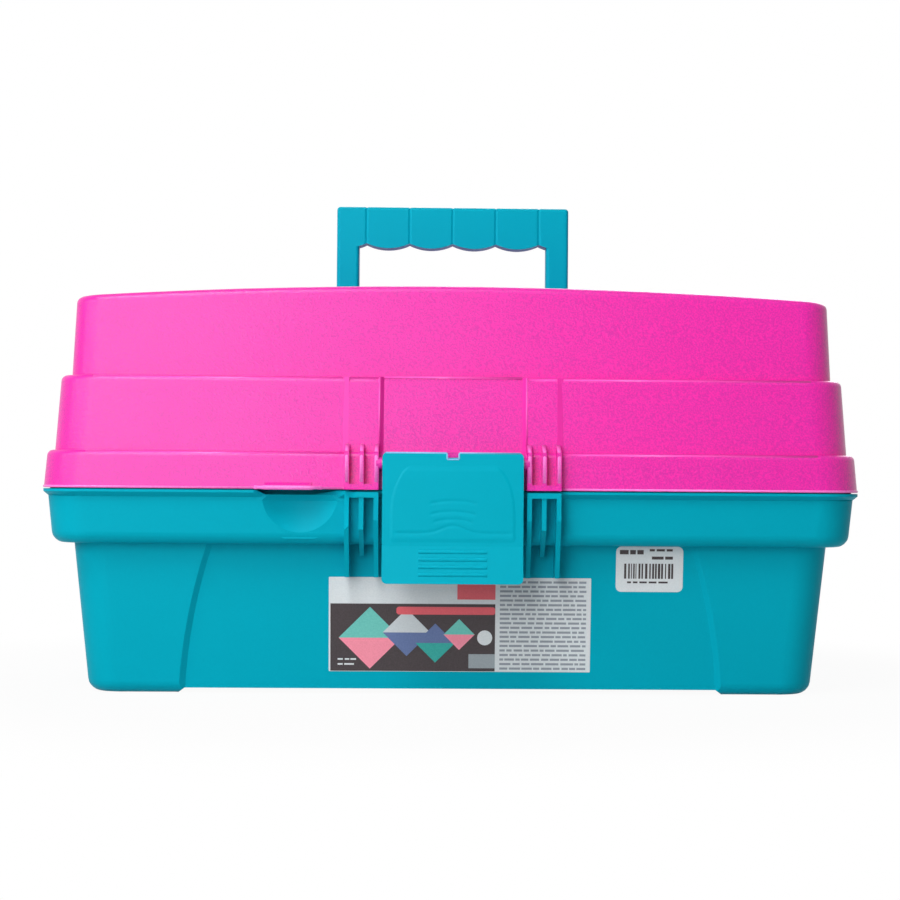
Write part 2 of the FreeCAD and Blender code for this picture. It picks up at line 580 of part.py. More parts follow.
def lid():
    outside, hollows = lid_shell()
    body = outside.cut(hollows)

    additions = []
    middle_rise = Z_HIGH_STEP - STEP_ROUND
    middle_y = slope_at(MIDDLE_FOOT[1], Z_LOW_STEP, MIDDLE_TOP[1], Z_HIGH_STEP, middle_rise)
    additions.append(front_slab(MIDDLE_FOOT[1], Z_LOW_STEP - OVER, middle_y, middle_rise,
                                -STRIP_PROUD, WALL / 2, STRIP_OUTER_X))
    additions.append(front_slab(MIDDLE_FOOT[1], Z_LOW_STEP, MIDDLE_TOP[1], Z_HIGH_STEP - WALL / 2,
                                LID_RECESS, WALL + LID_BACKING, PANEL_HALF_X + WALL))
    additions.append(front_slab(LID_FOOT[1], Z_LID, FLANGE_TOP[1], Z_LOW_STEP - WALL / 2,
                                LID_RECESS, WALL + LID_BACKING, PANEL_HALF_X + WALL))

    rib_seat = Z_LOW_STEP - LID_RIB_SEAT
    rib = [(LID_FLANGE_ROOT_Y, Z_LID), (RIB_FRONT_Y, Z_LID), (RIB_FRONT_Y, Z_LOW_STEP),
           (LID_RIB_TOP_Y, Z_LOW_STEP + LID_RIB_RISE), (LID_RIB_ROOT_Y, rib_seat),
           (LID_FLANGE_ROOT_Y, rib_seat)]
    bar = guard_bar(front(BAR_ROOT - LID_RECESS), Z_LID)
    for side in (-1, 1):
        for place in RIB_XS:
            additions.append(guard_rib(rib, side * place))
        additions.append(prism_along_x(bar, *rib_span(side)))
        ends = sorted((side * (LATCH_HALF_X + LAYER_GAP), side * RIB_XS[0]))
        additions.append(rod(LATCH_PIN_Y, LATCH_PIN_Z, LATCH_BARREL_R, *ends))

    lip_y = -LID_FOOT[1] - LIFT_LIP_OUT
    lip_foot = Z_LID - RIM_GAP / 2
    lift = [(LIFT_LIP_ROOT_Y, lip_foot), (lip_y, lip_foot), (lip_y, lip_foot + LIFT_LIP_TALL),
            (LIFT_LIP_ROOT_Y - OVER, lip_foot + LIFT_LIP_ROOT), (LIFT_LIP_ROOT_Y, lip_foot + LIFT_LIP_ROOT)]
    additions.append(prism_along_x(lift, *LIFT_LIP))

    neck = [(LID_NECK_ROOT_Y, Z_LID + LID_NECK_SIDE), (HINGE_Y, HINGE_Z),
            (HINGE_Y + KNUCKLE_R - LID_NECK_SIDE / 7, HINGE_Z + LID_NECK_SIDE),
            (LID_NECK_TOP_Y, LID_NECK_TOP), (LID_NECK_ROOT_Y, LID_NECK_TOP)]
    for centre in HINGE_XS:
        low_x = centre - LID_KNUCKLE / 2
        high_x = centre + LID_KNUCKLE / 2
        additions.append(rod(HINGE_Y, HINGE_Z, KNUCKLE_R, low_x, high_x))
        additions.append(prism_along_x(neck, low_x, high_x))

    link_y, link_z = along((HINGE_Y, HINGE_Z), TO_LINK)
    link_boss_x = LINK_X + LINK_THICK + LAYER_GAP
    link_boss = rod(link_y, link_z, BOSS_R, link_boss_x, MIDDLE_FOOT[0] - WALL / 2)
    additions.extend([link_boss, mirrored_x(link_boss)])

    pocket_wall = block(-POCKET_HALF_X - WALL, POCKET_HALF_X + WALL,
                        POCKET_FRONT_Y - WALL, POCKET_BACK_Y + WALL, POCKET_FLOOR_Z - WALL, Z_CREST)
    pocket_wall = pocket_wall.common(outside)
    additions.append(pocket_wall)
    pin_boss = rod(0.0, HANDLE_PIVOT_Z, BOSS_R, POCKET_HALF_X + WALL / 2, POCKET_HALF_X + WALL + PIN_BOSS_END)
    additions.extend([pin_boss, mirrored_x(pin_boss)])
    body = joined(body, additions)

    cuts = []
    pocket = block(-POCKET_HALF_X, POCKET_HALF_X, POCKET_FRONT_Y, POCKET_BACK_Y,
                   POCKET_FLOOR_Z, Z_CREST + OVER)
    corners = [edge for edge in pocket.Edges if edge.BoundBox.ZLength > POCKET_ROUND]
    pocket = pocket.makeFillet(POCKET_ROUND, corners)
    cuts.append(pocket)
    pin_end = POCKET_HALF_X + WALL + PIN_HOLE_END
    cuts.append(rod(0.0, HANDLE_PIVOT_Z, HANDLE_PIN_R - PRESS, -pin_end, pin_end))
    recess_top = Z_HIGH_STEP + OVER
    recess_y = slope_at(MIDDLE_FOOT[1], Z_LOW_STEP, MIDDLE_TOP[1], Z_HIGH_STEP, recess_top)
    cuts.append(front_slab(MIDDLE_FOOT[1], Z_LOW_STEP, recess_y, recess_top,
                           -2 * STRIP_PROUD, LID_RECESS, PANEL_HALF_X))
    cuts.append(front_slab(LID_FOOT[1], Z_LID - OVER, FLANGE_TOP[1], Z_LOW_STEP + EXACT,
                           -OVER, LID_RECESS, PANEL_HALF_X))
    pin_room = RIB_XS[0] + PIN_END + PIN_END_ROOM
    cuts.append(rod(LATCH_PIN_Y, LATCH_PIN_Z, LATCH_PIN_R - PRESS, -pin_room, pin_room))
    for centre in HINGE_XS:
        for low_x, high_x in box_knuckle_spans(centre):
            cuts.append(rod(HINGE_Y, HINGE_Z, KNUCKLE_CLEAR, low_x - KNUCKLE_GAP, high_x + KNUCKLE_GAP))
        half = LID_KNUCKLE / 2 + OVER
        cuts.append(rod(HINGE_Y, HINGE_Z, HINGE_PIN_R + RUNNING, centre - half, centre + half))
    link_hole = rod(link_y, link_z, RIVET_R - PRESS, LINK_X, MIDDLE_FOOT[0] - WALL)
    cuts.extend([link_hole, mirrored_x(link_hole)])
    return body.cut(cuts).removeSplitter()


def latch():
    """Plate that hangs on the pin, with side cheeks, a barrel, a hook and finger ridges."""
    rear = LATCH_BACK_Y
    face = rear - LATCH_THICK
    outline = [(rear, LATCH_TOP), (face, LATCH_TOP), (face, LATCH_BEND_Z), (face - LATCH_FLARE, LATCH_FOOT),
               (rear - LATCH_FLARE, LATCH_FOOT), (rear, LATCH_BEND_Z)]
    plate = prism_along_x(outline, -LATCH_HALF_X, LATCH_HALF_X)
    corner_edges = [edge for edge in plate.Edges
                    if edge.BoundBox.XLength < EXACT and edge.BoundBox.ZLength < EXACT]
    plate = plate.makeFillet(LATCH_CORNER, corner_edges)

    cheek = [(rear, LATCH_TOP - CHEEK_DROP), (CHEEK_BACK_Y, LATCH_TOP - CHEEK_DROP),
             (CHEEK_BACK_Y, CHEEK_SLOPE_TOP), (rear, CHEEK_FOOT)]
    additions = []
    for side in (-1, 1):
        ends = sorted((side * LATCH_HALF_X, side * (LATCH_HALF_X - LATCH_THICK)))
        additions.append(prism_along_x(cheek, ends[0], ends[1]))
    additions.append(rod(LATCH_PIN_Y, LATCH_PIN_Z, LATCH_BARREL_R, -LATCH_HALF_X, LATCH_HALF_X))
    web_top = LATCH_PIN_Z + LATCH_WEB_HALF
    web_foot = LATCH_PIN_Z - LATCH_WEB_HALF
    web = [(rear, web_top), (LATCH_PIN_Y, web_top), (LATCH_PIN_Y, web_foot), (rear, web_foot)]
    additions.append(prism_along_x(web, -LATCH_HALF_X, LATCH_HALF_X))
    hook_top = Z_LIP - HOOK_CLEAR
    hook = [(rear, hook_top), (HOOK_TIP_Y, hook_top), (HOOK_TIP_Y, hook_top - HOOK_TIP),
            (HOOK_MID_Y, hook_top - HOOK_MID), (rear, hook_top - HOOK_TALL)]
    additions.append(prism_along_x(hook, -HOOK_HALF_X, HOOK_HALF_X))
    for step in range(RIDGES):
        z = LATCH_FOOT + RIDGE_START + RIDGE_PITCH * step
        y = slope_at(face - LATCH_FLARE, LATCH_FOOT, face, LATCH_BEND_Z, z)
        additions.append(rod(y + RIDGE_SINK, z, RIDGE_R, -RIDGE_HALF_X, RIDGE_HALF_X))
    body = joined(plate, additions)
    notch = block(-NOTCH_HALF_X, NOTCH_HALF_X, face - OVER, rear + EXACT,
                  LATCH_TOP - NOTCH_DEEP, LATCH_TOP + OVER)
    cuts = [notch]
    cuts.append(rod(LATCH_PIN_Y, LATCH_PIN_Z, LATCH_PIN_R + RUNNING,
                    -LATCH_HALF_X - OVER, LATCH_HALF_X + OVER))
    return body.cut(cuts).removeSplitter()


def handle():
    """Square-cornered bail with finger lobes under its grip and a groove between lobes."""
    half_thick = HANDLE_THICK / 2
    grip_foot = HANDLE_TOP - GRIP_DEEP
    grip = block(-HANDLE_HALF_X, HANDLE_HALF_X, -half_thick, half_thick, grip_foot, HANDLE_TOP)
    parts = []
    lobe_radius = ((LOBE_PITCH / 2) ** 2 + LOBE_DROP ** 2) / (2 * LOBE_DROP)
    lobe_z = grip_foot - LOBE_DROP + lobe_radius
    for index in range(LOBES + 2):
        x = (index - (LOBES + 1) / 2) * LOBE_PITCH
        lobe = Part.makeCylinder(lobe_radius, HANDLE_THICK, point(x, -half_thick, lobe_z), Y_AXIS)
        low_x = max(x - LOBE_PITCH / 2, -HANDLE_HALF_X)
        high_x = min(x + LOBE_PITCH / 2, HANDLE_HALF_X)
        window = block(low_x, high_x, -half_thick, half_thick, grip_foot - LOBE_DROP, grip_foot + OVER)
        parts.append(lobe.common(window))
    for side in (-1, 1):
        ends = sorted((side * HANDLE_INNER_X, side * HANDLE_HALF_X))
        parts.append(block(ends[0], ends[1], -half_thick, half_thick, HANDLE_PIVOT_Z, HANDLE_TOP))
        parts.append(rod(0.0, HANDLE_PIVOT_Z, half_thick, ends[0], ends[1]))
    body = joined(grip, parts)
    upright = [edge for edge in body.Edges
               if edge.BoundBox.XLength < EXACT and edge.BoundBox.YLength < EXACT
               and edge.BoundBox.ZLength > GRIP_DEEP]
    body = body.makeFillet(HANDLE_ROUND, upright + level_edges(body, HANDLE_TOP))
    holes = []
    for side in (-1, 1):
        ends = sorted((side * (HANDLE_INNER_X + HANDLE_HOLE_START), side * (HANDLE_HALF_X + OVER)))
        holes.append(rod(0.0, HANDLE_PIVOT_Z, HANDLE_PIN_R + RUNNING, ends[0], ends[1]))
    for index in range(LOBES + 1):
        x = (index - LOBES / 2) * LOBE_PITCH
        holes.extend(lobe_grooves(x, half_thick, grip_foot - LOBE_DROP))
    return body.cut(holes)


def lobe_grooves(x, half_thick, low_z):
    """V grooves across the front, the back and the top of the grip at one x place."""
    over_top = [(x - 2 * LOBE_GROOVE_HALF, HANDLE_TOP + LOBE_GROOVE),
                (x + 2 * LOBE_GROOVE_HALF, HANDLE_TOP + LOBE_GROOVE), (x, HANDLE_TOP - LOBE_GROOVE)]
    grooves = [prism_along_y(over_top, -half_thick - OVER, half_thick + OVER)]
    for side in (-1, 1):
        tip = side * (half_thick - LOBE_GROOVE)
        face = side * (half_thick + LOBE_GROOVE)
        corners = [point(x - 2 * LOBE_GROOVE_HALF, face, low_z), point(x + 2 * LOBE_GROOVE_HALF, face, low_z),
                   point(x, tip, low_z)]
        wedge = Part.Face(Part.makePolygon(corners + corners[:1]))
        grooves.append(wedge.extrude(Z_AXIS * (HANDLE_TOP + OVER - low_z)))
    return grooves


def handle_pin(side):
    pin = rod(0.0, HANDLE_PIVOT_Z, HANDLE_PIN_R, HANDLE_INNER_X + HANDLE_PIN_START,
              POCKET_HALF_X + WALL + HANDLE_PIN_END)
    return at_side(pin, side)


def hinge_pin(centre):
    half = LID_KNUCKLE / 2 + KNUCKLE_GAP + BOX_KNUCKLE
    return rod(HINGE_Y, HINGE_Z, HINGE_PIN_R, centre - half, centre + half)


def latch_pin():
    return rod(LATCH_PIN_Y, LATCH_PIN_Z, LATCH_PIN_R, -RIB_XS[0] - PIN_END, RIB_XS[0] + PIN_END)


def tray_outline(size, z, within=0.0):
    corner = TRAY_CORNER - within
    return rounded_outline(size[0] - within, size[1] + within, size[2] - within, corner, z)


def tray_hollow(heights, foot, top, grow):
    """Space inside a tray's walls and over its floor, grown by the depth of a groove."""
    low_z, high_z = heights
    within = TRAY_WALL - grow
    hollow_foot = tray_outline(foot, low_z + within, within)
    hollow_top = tray_outline(top, high_z + EXACT, within)
    return Part.makeLoft([hollow_foot, hollow_top], True, True)


def divider_blocks(heights, foot, top, layout, clear):
    """Plain blocks where the dividers stand, by name, before they are trimmed to the tray."""
    low_z, high_z = heights
    long_y, front_boxes, back_boxes = layout
    top_z = high_z - DIVIDER_DROP
    half = DIVIDER / 2 + clear
    blocks = {"long": block(-top[0], top[0], long_y - half, long_y + half, low_z, top_z)}
    rows = (("front", front_boxes, top[1], long_y - DIVIDER / 2),
            ("back", back_boxes, long_y + DIVIDER / 2, top[2]))
    for row, boxes, front_y, back_y in rows:
        for index in range(1, boxes):
            x = -foot[0] + 2 * foot[0] * index / boxes
            blocks[row + "_" + str(index)] = block(x - half, x + half, front_y, back_y, low_z, top_z)
    return blocks


def dividers(heights, foot, top, layout):
    """Flat plates that stand in grooves in the tray's walls and floor."""
    room = tray_hollow(heights, foot, top, GROOVE)
    blocks = divider_blocks(heights, foot, top, layout, 0.0)
    return {name: plain.common(room) for name, plain in blocks.items()}


def tray(heights, foot, top, layout, pivots):
    """Open tray with a groove for each divider and a boss on each end for each arm."""
    low_z, high_z = heights
    body = Part.makeLoft([tray_outline(foot, low_z), tray_outline(top, high_z)], True, True)
    body = body.makeFillet(TRAY_WALL, level_edges(body, low_z))
    bosses = []
    holes = []
    for y, z in pivots:
        boss = rod(y, z, BOSS_R, foot[0] - BOSS_DEEP, ARM_X - LAYER_GAP)
        hole = rod(y, z, RIVET_R - PRESS, foot[0] - BOSS_DEEP + TRAY_WALL, ARM_X)
        bosses.extend([boss, mirrored_x(boss)])
        holes.extend([hole, mirrored_x(hole)])
    body = joined(body.cut(tray_hollow(heights, foot, top, 0.0)), bosses)
    room = tray_hollow(heights, foot, top, GROOVE + GROOVE_CLEAR)
    for plain in divider_blocks(heights, foot, top, layout, GROOVE_CLEAR).values():
        holes.append(plain.common(room))
    return body.cut(holes).removeSplitter()


def lower_pivots():
    return (along(REAR_PIVOT, TO_LOWER_TRAY), along(FRONT_PIVOT, TO_LOWER_TRAY))


def upper_pivots():
    return (along(REAR_PIVOT, TO_UPPER_TRAY), along(FRONT_PIVOT, TO_UPPER_TRAY))


def lower_tray():
    return tray(LOWER_Z, LOWER_FOOT, LOWER_TOP, LOWER_LAYOUT, lower_pivots())


def upper_tray():
    return tray(UPPER_Z, UPPER_FOOT, UPPER_TOP, UPPER_LAYOUT, upper_pivots())


def bar_between(start, end, half, low_x, high_x):
    """Flat bar between two (y, z) places, with its edges parallel to their line."""
    run_y = end[0] - start[0]
    run_z = end[1] - start[1]
    length = math.hypot(run_y, run_z)
    off_y = -run_z / length * half
    off_z = run_y / length * half
    outline = [(start[0] + off_y, start[1] + off_z), (end[0] + off_y, end[1] + off_z),
               (end[0] - off_y, end[1] - off_z), (start[0] - off_y, start[1] - off_z)]
    return prism_along_x(outline, low_x, high_x)


def arm(pivot, side, pressed):
    """Bent bar with an eye at the box pivot and at each tray, and the link's hole if it has one."""
    low_x = ARM_X
    high_x = ARM_X + ARM_THICK
    eyes = [pivot, along(pivot, TO_LOWER_TRAY), along(pivot, TO_UPPER_TRAY)]
    pieces = [rod(y, z, ARM_EYE_R, low_x, high_x) for y, z in eyes]
    pieces.append(bar_between(eyes[0], eyes[1], ARM_HALF, low_x, high_x))
    pieces.append(bar_between(eyes[1], eyes[2], ARM_HALF, low_x, high_x))
    if pressed:
        y, z = along(pivot, TO_LINK)
        pieces.append(rod(y, z, ARM_EYE_R, low_x, high_x))
    body = joined(pieces[0], pieces[1:])
    holes = [rod(y, z, RIVET_R + RUNNING, low_x - OVER, high_x + OVER) for y, z in eyes]
    if pressed:
        holes.append(rod(y, z, RIVET_R - PRESS, low_x - OVER, high_x + OVER))
    return at_side(body.cut(holes), side)


def link(side):
    """Short bar from the rear arm to the lid."""
    start = along(REAR_PIVOT, TO_LINK)
    end = along((HINGE_Y, HINGE_Z), TO_LINK)
    low_x = LINK_X
    high_x = LINK_X + LINK_THICK
    pieces = [rod(y, z, LINK_EYE_R, low_x, high_x) for y, z in (start, end)]
    body = joined(bar_between(start, end, LINK_HALF, low_x, high_x), pieces)
    holes = [rod(y, z, RIVET_R + RUNNING, low_x - OVER, high_x + OVER) for y, z in (start, end)]
    return at_side(body.cut(holes), side)


def rivet(place, side, head_low_x, shank_end_x):
    """Round pin with a flat head; the head starts at head_low_x and the shank ends at shank_end_x."""
    y, z = place
    head = rod(y, z, RIVET_HEAD_R, head_low_x, head_low_x + RIVET_HEAD)
    head = head.makeChamfer(RIVET_BEVEL, head.Edges[0:1])
    shank_low = min(head_low_x, shank_end_x)
    shank_high = max(head_low_x + RIVET_HEAD, shank_end_x)
    return at_side(joined(head, [rod(y, z, RIVET_R, shank_low, shank_high)]), side)


def tray_rivet(place, side, foot):
    return rivet(place, side, ARM_X + ARM_THICK + LAYER_GAP, foot[0] - BOSS_DEEP + TRAY_WALL)


def box_rivet(place, side):
    return rivet(place, side, ARM_X - LAYER_GAP - RIVET_HEAD, BAND_TOP[0] - WALL - OVER)


def arm_rivet(side):
    place = along(REAR_PIVOT, TO_LINK)
    return rivet(place, side, LINK_X + LINK_THICK + LAYER_GAP, ARM_X)


def lid_rivet(side):
    place = along((HINGE_Y, HINGE_Z), TO_LINK)
    return rivet(place, side, LINK_X - LAYER_GAP - RIVET_HEAD, MIDDLE_FOOT[0] - WALL)


def all_parts():
    parts = {
        "base_tub": base_tub(),
        "lid": lid(),
        "latch": latch(),
        "latch_pin": latch_pin(),
        "handle": handle(),
        "lower_tray": lower_tray(),
        "upper_tray": upper_tray(),
    }
    for name, shape in dividers(LOWER_Z, LOWER_FOOT, LOWER_TOP, LOWER_LAYOUT).items():
        parts["lower_divider_" + name] = shape
    for name, shape in dividers(UPPER_Z, UPPER_FOOT, UPPER_TOP, UPPER_LAYOUT).items():
        parts["upper_divider_" + name] = shape
    for name, side in (("left", -1), ("right", 1)):
        parts["handle_pin_" + name] = handle_pin(side)
        parts["hinge_pin_" + name] = hinge_pin(HINGE_XS[0] if side < 0 else HINGE_XS[1])
        parts["rear_arm_" + name] = arm(REAR_PIVOT, side, True)
        parts["front_arm_" + name] = arm(FRONT_PIVOT, side, False)
        parts["lid_link_" + name] = link(side)
        parts["link_rivet_arm_" + name] = arm_rivet(side)
        parts["link_rivet_lid_" + name] = lid_rivet(side)
        for end, pivot in (("rear", REAR_PIVOT), ("front", FRONT_PIVOT)):
            parts["box_rivet_" + end + "_" + name] = box_rivet(pivot, side)
            lower = along(pivot, TO_LOWER_TRAY)
            upper = along(pivot, TO_UPPER_TRAY)
            parts["lower_rivet_" + end + "_" + name] = tray_rivet(lower, side, LOWER_FOOT)
            parts["upper_rivet_" + end + "_" + name] = tray_rivet(upper, side, UPPER_FOOT)
    return parts


os.makedirs("parts", exist_ok=True)
for node, shape in all_parts().items():
    assert shape.isValid(), node
    assert len(shape.Solids) == 1, (node, len(shape.Solids))
    shape.exportStep(os.path.join("parts", node + ".step"))
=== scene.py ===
"""Looks of the tool box: finishes of its moulded parts, its stickers, light, floor and camera.

Blender works in metres, in the frame of the CAD model: X along the box, Y from front to
back and Z up. The sizes below are millimetres, and MM turns them to metres.
"""

import bpy
import numpy as np
from mathutils import Matrix, Vector


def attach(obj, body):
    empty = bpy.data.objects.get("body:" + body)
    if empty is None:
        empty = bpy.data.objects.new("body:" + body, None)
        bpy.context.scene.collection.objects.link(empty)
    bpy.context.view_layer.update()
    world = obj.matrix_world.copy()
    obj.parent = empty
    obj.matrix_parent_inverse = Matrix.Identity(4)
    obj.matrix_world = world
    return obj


MM = 0.001

# Camera: nearly level, a little left of the middle and about 0.9 m in front of the rim, with
# its angles in degrees. The picture's principal point lies a little right of its middle, so
# the lens is shifted.
IMAGE_WIDTH_PX = 900
SENSOR_WIDTH = 36.0
CAMERA_PLACE = (-8.8, -997.0, 94.05)
CAMERA_YAW = 1.456
CAMERA_PITCH = 0.799
CAMERA_ROLL = 0.424
CAMERA_FOCUS_PX = 2103.5
PRINCIPAL_POINT_PX = 36.0

# Soft studio light, all aimed at the middle of the box: (name, place, width, height, watts).
# The wide box low at the left mirrors in the lid's left half and gives it its pale sheen.
AIM = (0.0, 0.0, 110.0)
SOFTBOXES = (
    ("key_high_left", (-340.0, -760.0, 1160.0), 480.0, 480.0, 8.6),
    ("sheen_left_front", (-345.0, -1060.0, 350.0), 460.0, 600.0, 4.2),
    ("sheen_left_high", (-345.0, -990.0, 830.0), 460.0, 420.0, 2.0),
    ("side_left", (-830.0, -640.0, 430.0), 800.0, 340.0, 3.0),
    ("fill_right_front", (1150.0, -900.0, 450.0), 900.0, 900.0, 0.4),
    ("back", (300.0, 1200.0, 900.0), 900.0, 900.0, 12.0),
)
AMBIENT = 0.1

# Floor: white paper that keeps a soft shadow near the box and fades to plain white, with
# fibres that are FIBRE wide
FLOOR_HALF = 4000.0
FLOOR_LIFT = 0.95
FADE_START = 200.0
FADE_END = 360.0
FIBRE = 2.0

# Moulded plastic: width of the mould's grain and of the flow's slow cloud, the part of each
# noise that shows, and how far the cloud drifts the colour and the roughness
GRAIN = 0.8
GRAIN_SHOWN = (0.38, 0.62)
CLOUD = 80.0
CLOUD_SHOWN = (0.1, 0.9)
COLOUR_DRIFT = 0.2
ROUGHNESS_DRIFT = 0.06
PLASTIC_IOR = 1.49

# Turned steel: the wave's scale, which sets the turning marks 2.5 mm apart, their height,
# and the width of the stains
TURNING_SCALE = 125.0
TURNING_HIGH = 0.01
STAIN = 3.0
STAIN_SHOWN = (0.3, 0.7)
STEEL_ROUGHNESS = (0.22, 0.38)

# Printed label: width of the print's grain and the part of its noise that shows
PRINT_GRAIN = 0.6
PRINT_GRAIN_SHOWN = (0.35, 0.65)
PRINT_ROUGHNESS = 0.35
PRINT_IOR = 1.5
PRINT_SPECULAR = 0.3

# Sunk front panel of the tub: its face leans forward from the foot to the band
PANEL_FOOT_Y = -74.0
PANEL_LEAN = 8.5 / 65.5

# Stickers: thickness of their paper and of a layer of ink, and how far the paper sinks into
# the panel, which closes the gap behind it. Each mark lies higher than the one before it by
# a share of the ink, up to the fourteenth. The seeds set where dashes and bars begin and end.
PAPER = 0.15
INK = 0.05
SUNK = 0.1
LATER_SHARE = 0.1
LATER_MOST = 14
LABEL_SEED = 11
STICKER_SEED = 5

# Main label on the panel, as x from left to right and z from foot to top
LABEL_X = (-53.4, 60.8)
LABEL_Z = (9.8, 51.2)
LABEL_CORNER = 0.4
LABEL_SPLIT_X = 19.1
LABEL_STRIP_Z = 39.6

# Plain fields of the label, (left, right, foot, top, corner, ink): first the two grounds,
# then the marks that lie over them
LABEL_GROUNDS = (
    (LABEL_X[0] + 0.7, LABEL_SPLIT_X, LABEL_Z[0] + 0.2, LABEL_STRIP_Z, 0.0, "charcoal"),
    (2.5, LABEL_SPLIT_X, 41.6, 48.9, 0.0, "red"),
)
LABEL_MARKS = (
    (-24.0, LABEL_SPLIT_X, 34.9, 38.3, 1.2, "red"),
    (7.6, LABEL_SPLIT_X, 11.4, 17.6, 0.0, "grey"),
    (11.3, 17.9, 21.5, 28.1, 3.3, "paper"),
)

# Tilted two-tone squares on the label's dark field: (x, z, half diagonal, upper, lower)
TILES = (
    (-35.5, 24.6, 13.6, "mint", "pink"),
    (-19.5, 27.0, 10.4, "silver", "slate"),
    (-7.0, 22.4, 8.6, "slate", "teal"),
    (3.4, 26.2, 6.8, "mint", "pink"),
)

# Dashes stand for print too small to read: how long, how far apart, and the least room for one
DASH_LONG = (1.6, 6.0)
DASH_APART = (0.5, 0.9)
DASH_ROOM = 1.0

# Two rows of dashes low on the dark field, and the panel of small print at the label's right
CORNER_ROWS_X = (-49.5, -41.5)
CORNER_ROWS_Z = (13.0, 15.2)
CORNER_ROWS_TALL = 0.7
PRINT_ROWS = 20
PRINT_TOP_Z = 49.3
PRINT_STEP = 2.0
PRINT_MARGIN = 2.0
PRINT_TALL = 0.95

# Small rounded sticker under the band, right of the latch
STICKER_X = (71.5, 100.8)
STICKER_Z = (45.4, 65.3)
STICKER_CORNER = 2.4

# Its upright bars, as margins left and right and as heights over its foot, and its dashes as
# (left end, right end, height over the foot, thickness)
BARS_MARGIN = (3.6, 4.6)
BARS_Z = (5.8, 12.4)
BAR_WIDE = (0.35, 1.1)
BAR_APART = (0.35, 0.9)
STICKER_DASHES = (
    (1.6, 12.0, 17.4, 1.9),
    (14.6, 25.0, 18.3, 1.0),
    (15.6, 24.8, 14.9, 1.3),
    (5.0, 23.8, 4.2, 0.8),
)

# Beads that round off an edge: sides of their section, and the width and height of each
BEAD_SIDES = 12
LATCH_BEAD = (0.8, 0.4)
FOOT_BEAD = (1.0, 0.35)
SEAL_BEAD = (0.44, 0.4)
LIP_BEAD = (1.9, 0.7)
FIELD_BEAD = (0.9, 0.45)
LEDGE_BEAD = (1.3, 0.25)
RIB_BEAD = (1.7, 0.28)

# Latch: its flat front face, and its notch as half width and depth. Only the upper part of
# the notch is left open, over a sill that overlaps the plate and is SILL_Y behind the face.
LATCH_FACE_Y = -104.6
LATCH_HALF_X = 30.0
LATCH_TOP = 105.3
NOTCH = (2.6, 3.5)
NOTCH_SHOWN = 2.7
SILL_OVERLAP = 0.2
SILL_Y = (0.05, 1.2)

# The bead along the latch's top: how far it lies inside the edge, ends short of the plate's
# corners, and cuts the notch's corners
TOP_BEAD_IN = 0.25
TOP_BEAD_SHORT = 1.4
NOTCH_CUT = 0.3

# Shield moulded on the latch: its edge as (z, half width), its rise, where that fades at the
# edge, the foot and the top, and the grid of points that carries it, sunk behind the face
SHIELD_EDGE = (
    (66.0, 26.2), (80.0, 26.2), (85.0, 25.8), (90.0, 24.7), (94.0, 23.0), (97.0, 21.2),
    (101.0, 17.8),
)
SHIELD_HIGH = 0.3
SHIELD_FADE = 1.4
SHIELD_FOOT = 66.6
SHIELD_FOOT_FADE = 2.5
SHIELD_TOP = 100.4
SHIELD_TOP_FADE = 3.5
RELIEF_HALF_X = 28.0
RELIEF_Z = (66.2, 100.8)
RELIEF_GRID = (161, 116)
RELIEF_SUNK = 0.03

# Grooves in the shield: their depth, half width and fade at the ends; one with a hump in its
# middle; and three arcs as (z, half length), which sag by ARC_SAG at their ends
GROOVE_DEEP = 0.22
GROOVE_HALF = 0.7
GROOVE_FADE = 1.5
HUMPED_Z = 71.0
HUMPED_HALF_X = 25.4
HUMP_HIGH = 3.3
HUMP_HALF_X = 6.6
ARCS = ((84.8, 10.6), (80.2, 10.3), (76.9, 8.8))
ARC_SAG = 1.4

# Foot of the lid: half length and half depth, corner, height, and the middle of its bead
LID_FOOT = (177.3, 97.0)
LID_CORNER = 19.0
LID_FOOT_Z = 89.3
FOOT_BEAD_UP = 0.55
CORNER_STEPS = 9

# Guard ribs of the lid: the outer face of the last, how far the foot's bead runs under it, the
# middle of each, their front line as (y, z), the way out of it at each point, and how far the
# beads sink in
RIB_OUTER_X = 46.3
RIB_OVERLAP = 0.5
RIB_XS = (32.7, 39.0, 45.3)
RIB_LINE = ((-101.6, 92.5), (-101.6, 103.5), (-101.2, 105.6), (-92.5, 108.8))
RIB_OUTWARD = ((0.0, -1.0, 0.0), (0.0, -1.0, 0.0), (0.0, -0.7, 0.7), (0.0, -0.34, 0.94))
RIB_SUNK = 0.15

# Seal under the lid's foot: how far in from the foot's edge, its level, where its runs end at
# the back, the rim's dip that it skips, and the room right of the dip's left end that still
# counts as the left run
SEAL_INSET = 3.0
SEAL_Z = 89.04
SEAL_BACK_Y = 85.0
DIP_X = (-93.0, -38.0)
DIP_ROOM = 1.0

# Lifting lip at the lid's foot: its ends, its front and the middle of its height. Its cap
# fades over LIP_FADE to a line LIP_TUCK inside the lid.
LIP_X = (-80.4, -60.5)
LIP_FRONT_Y = -99.5
LIP_Z = 89.95
LIP_FADE = 4.5
LIP_TUCK = 0.4
LIP_STEPS = 29

# Lid's middle tier, as (y, z) of its face: sunk field behind the latch, and low strips
# beside it. The bar along each side of a strip is as wide as the slope and tucked into the
# lid. The bead on the strip's inner edge lies that far outside the field and behind the strip.
TIER_FOOT = (-92.4, 105.6)
TIER_TOP = (-89.3, 137.9)
FIELD_HALF_X = 31.4
FIELD_DEEP = 1.5
FIELD_SLOPE = 1.6
STRIP_HALF_X = 45.0
STRIP_PROUD = 0.5
STRIP_SLOPE = 2.4
TUCK = 0.1
STRIP_TUCK = 0.2
FIELD_BEAD_IN = (0.35, 0.25)

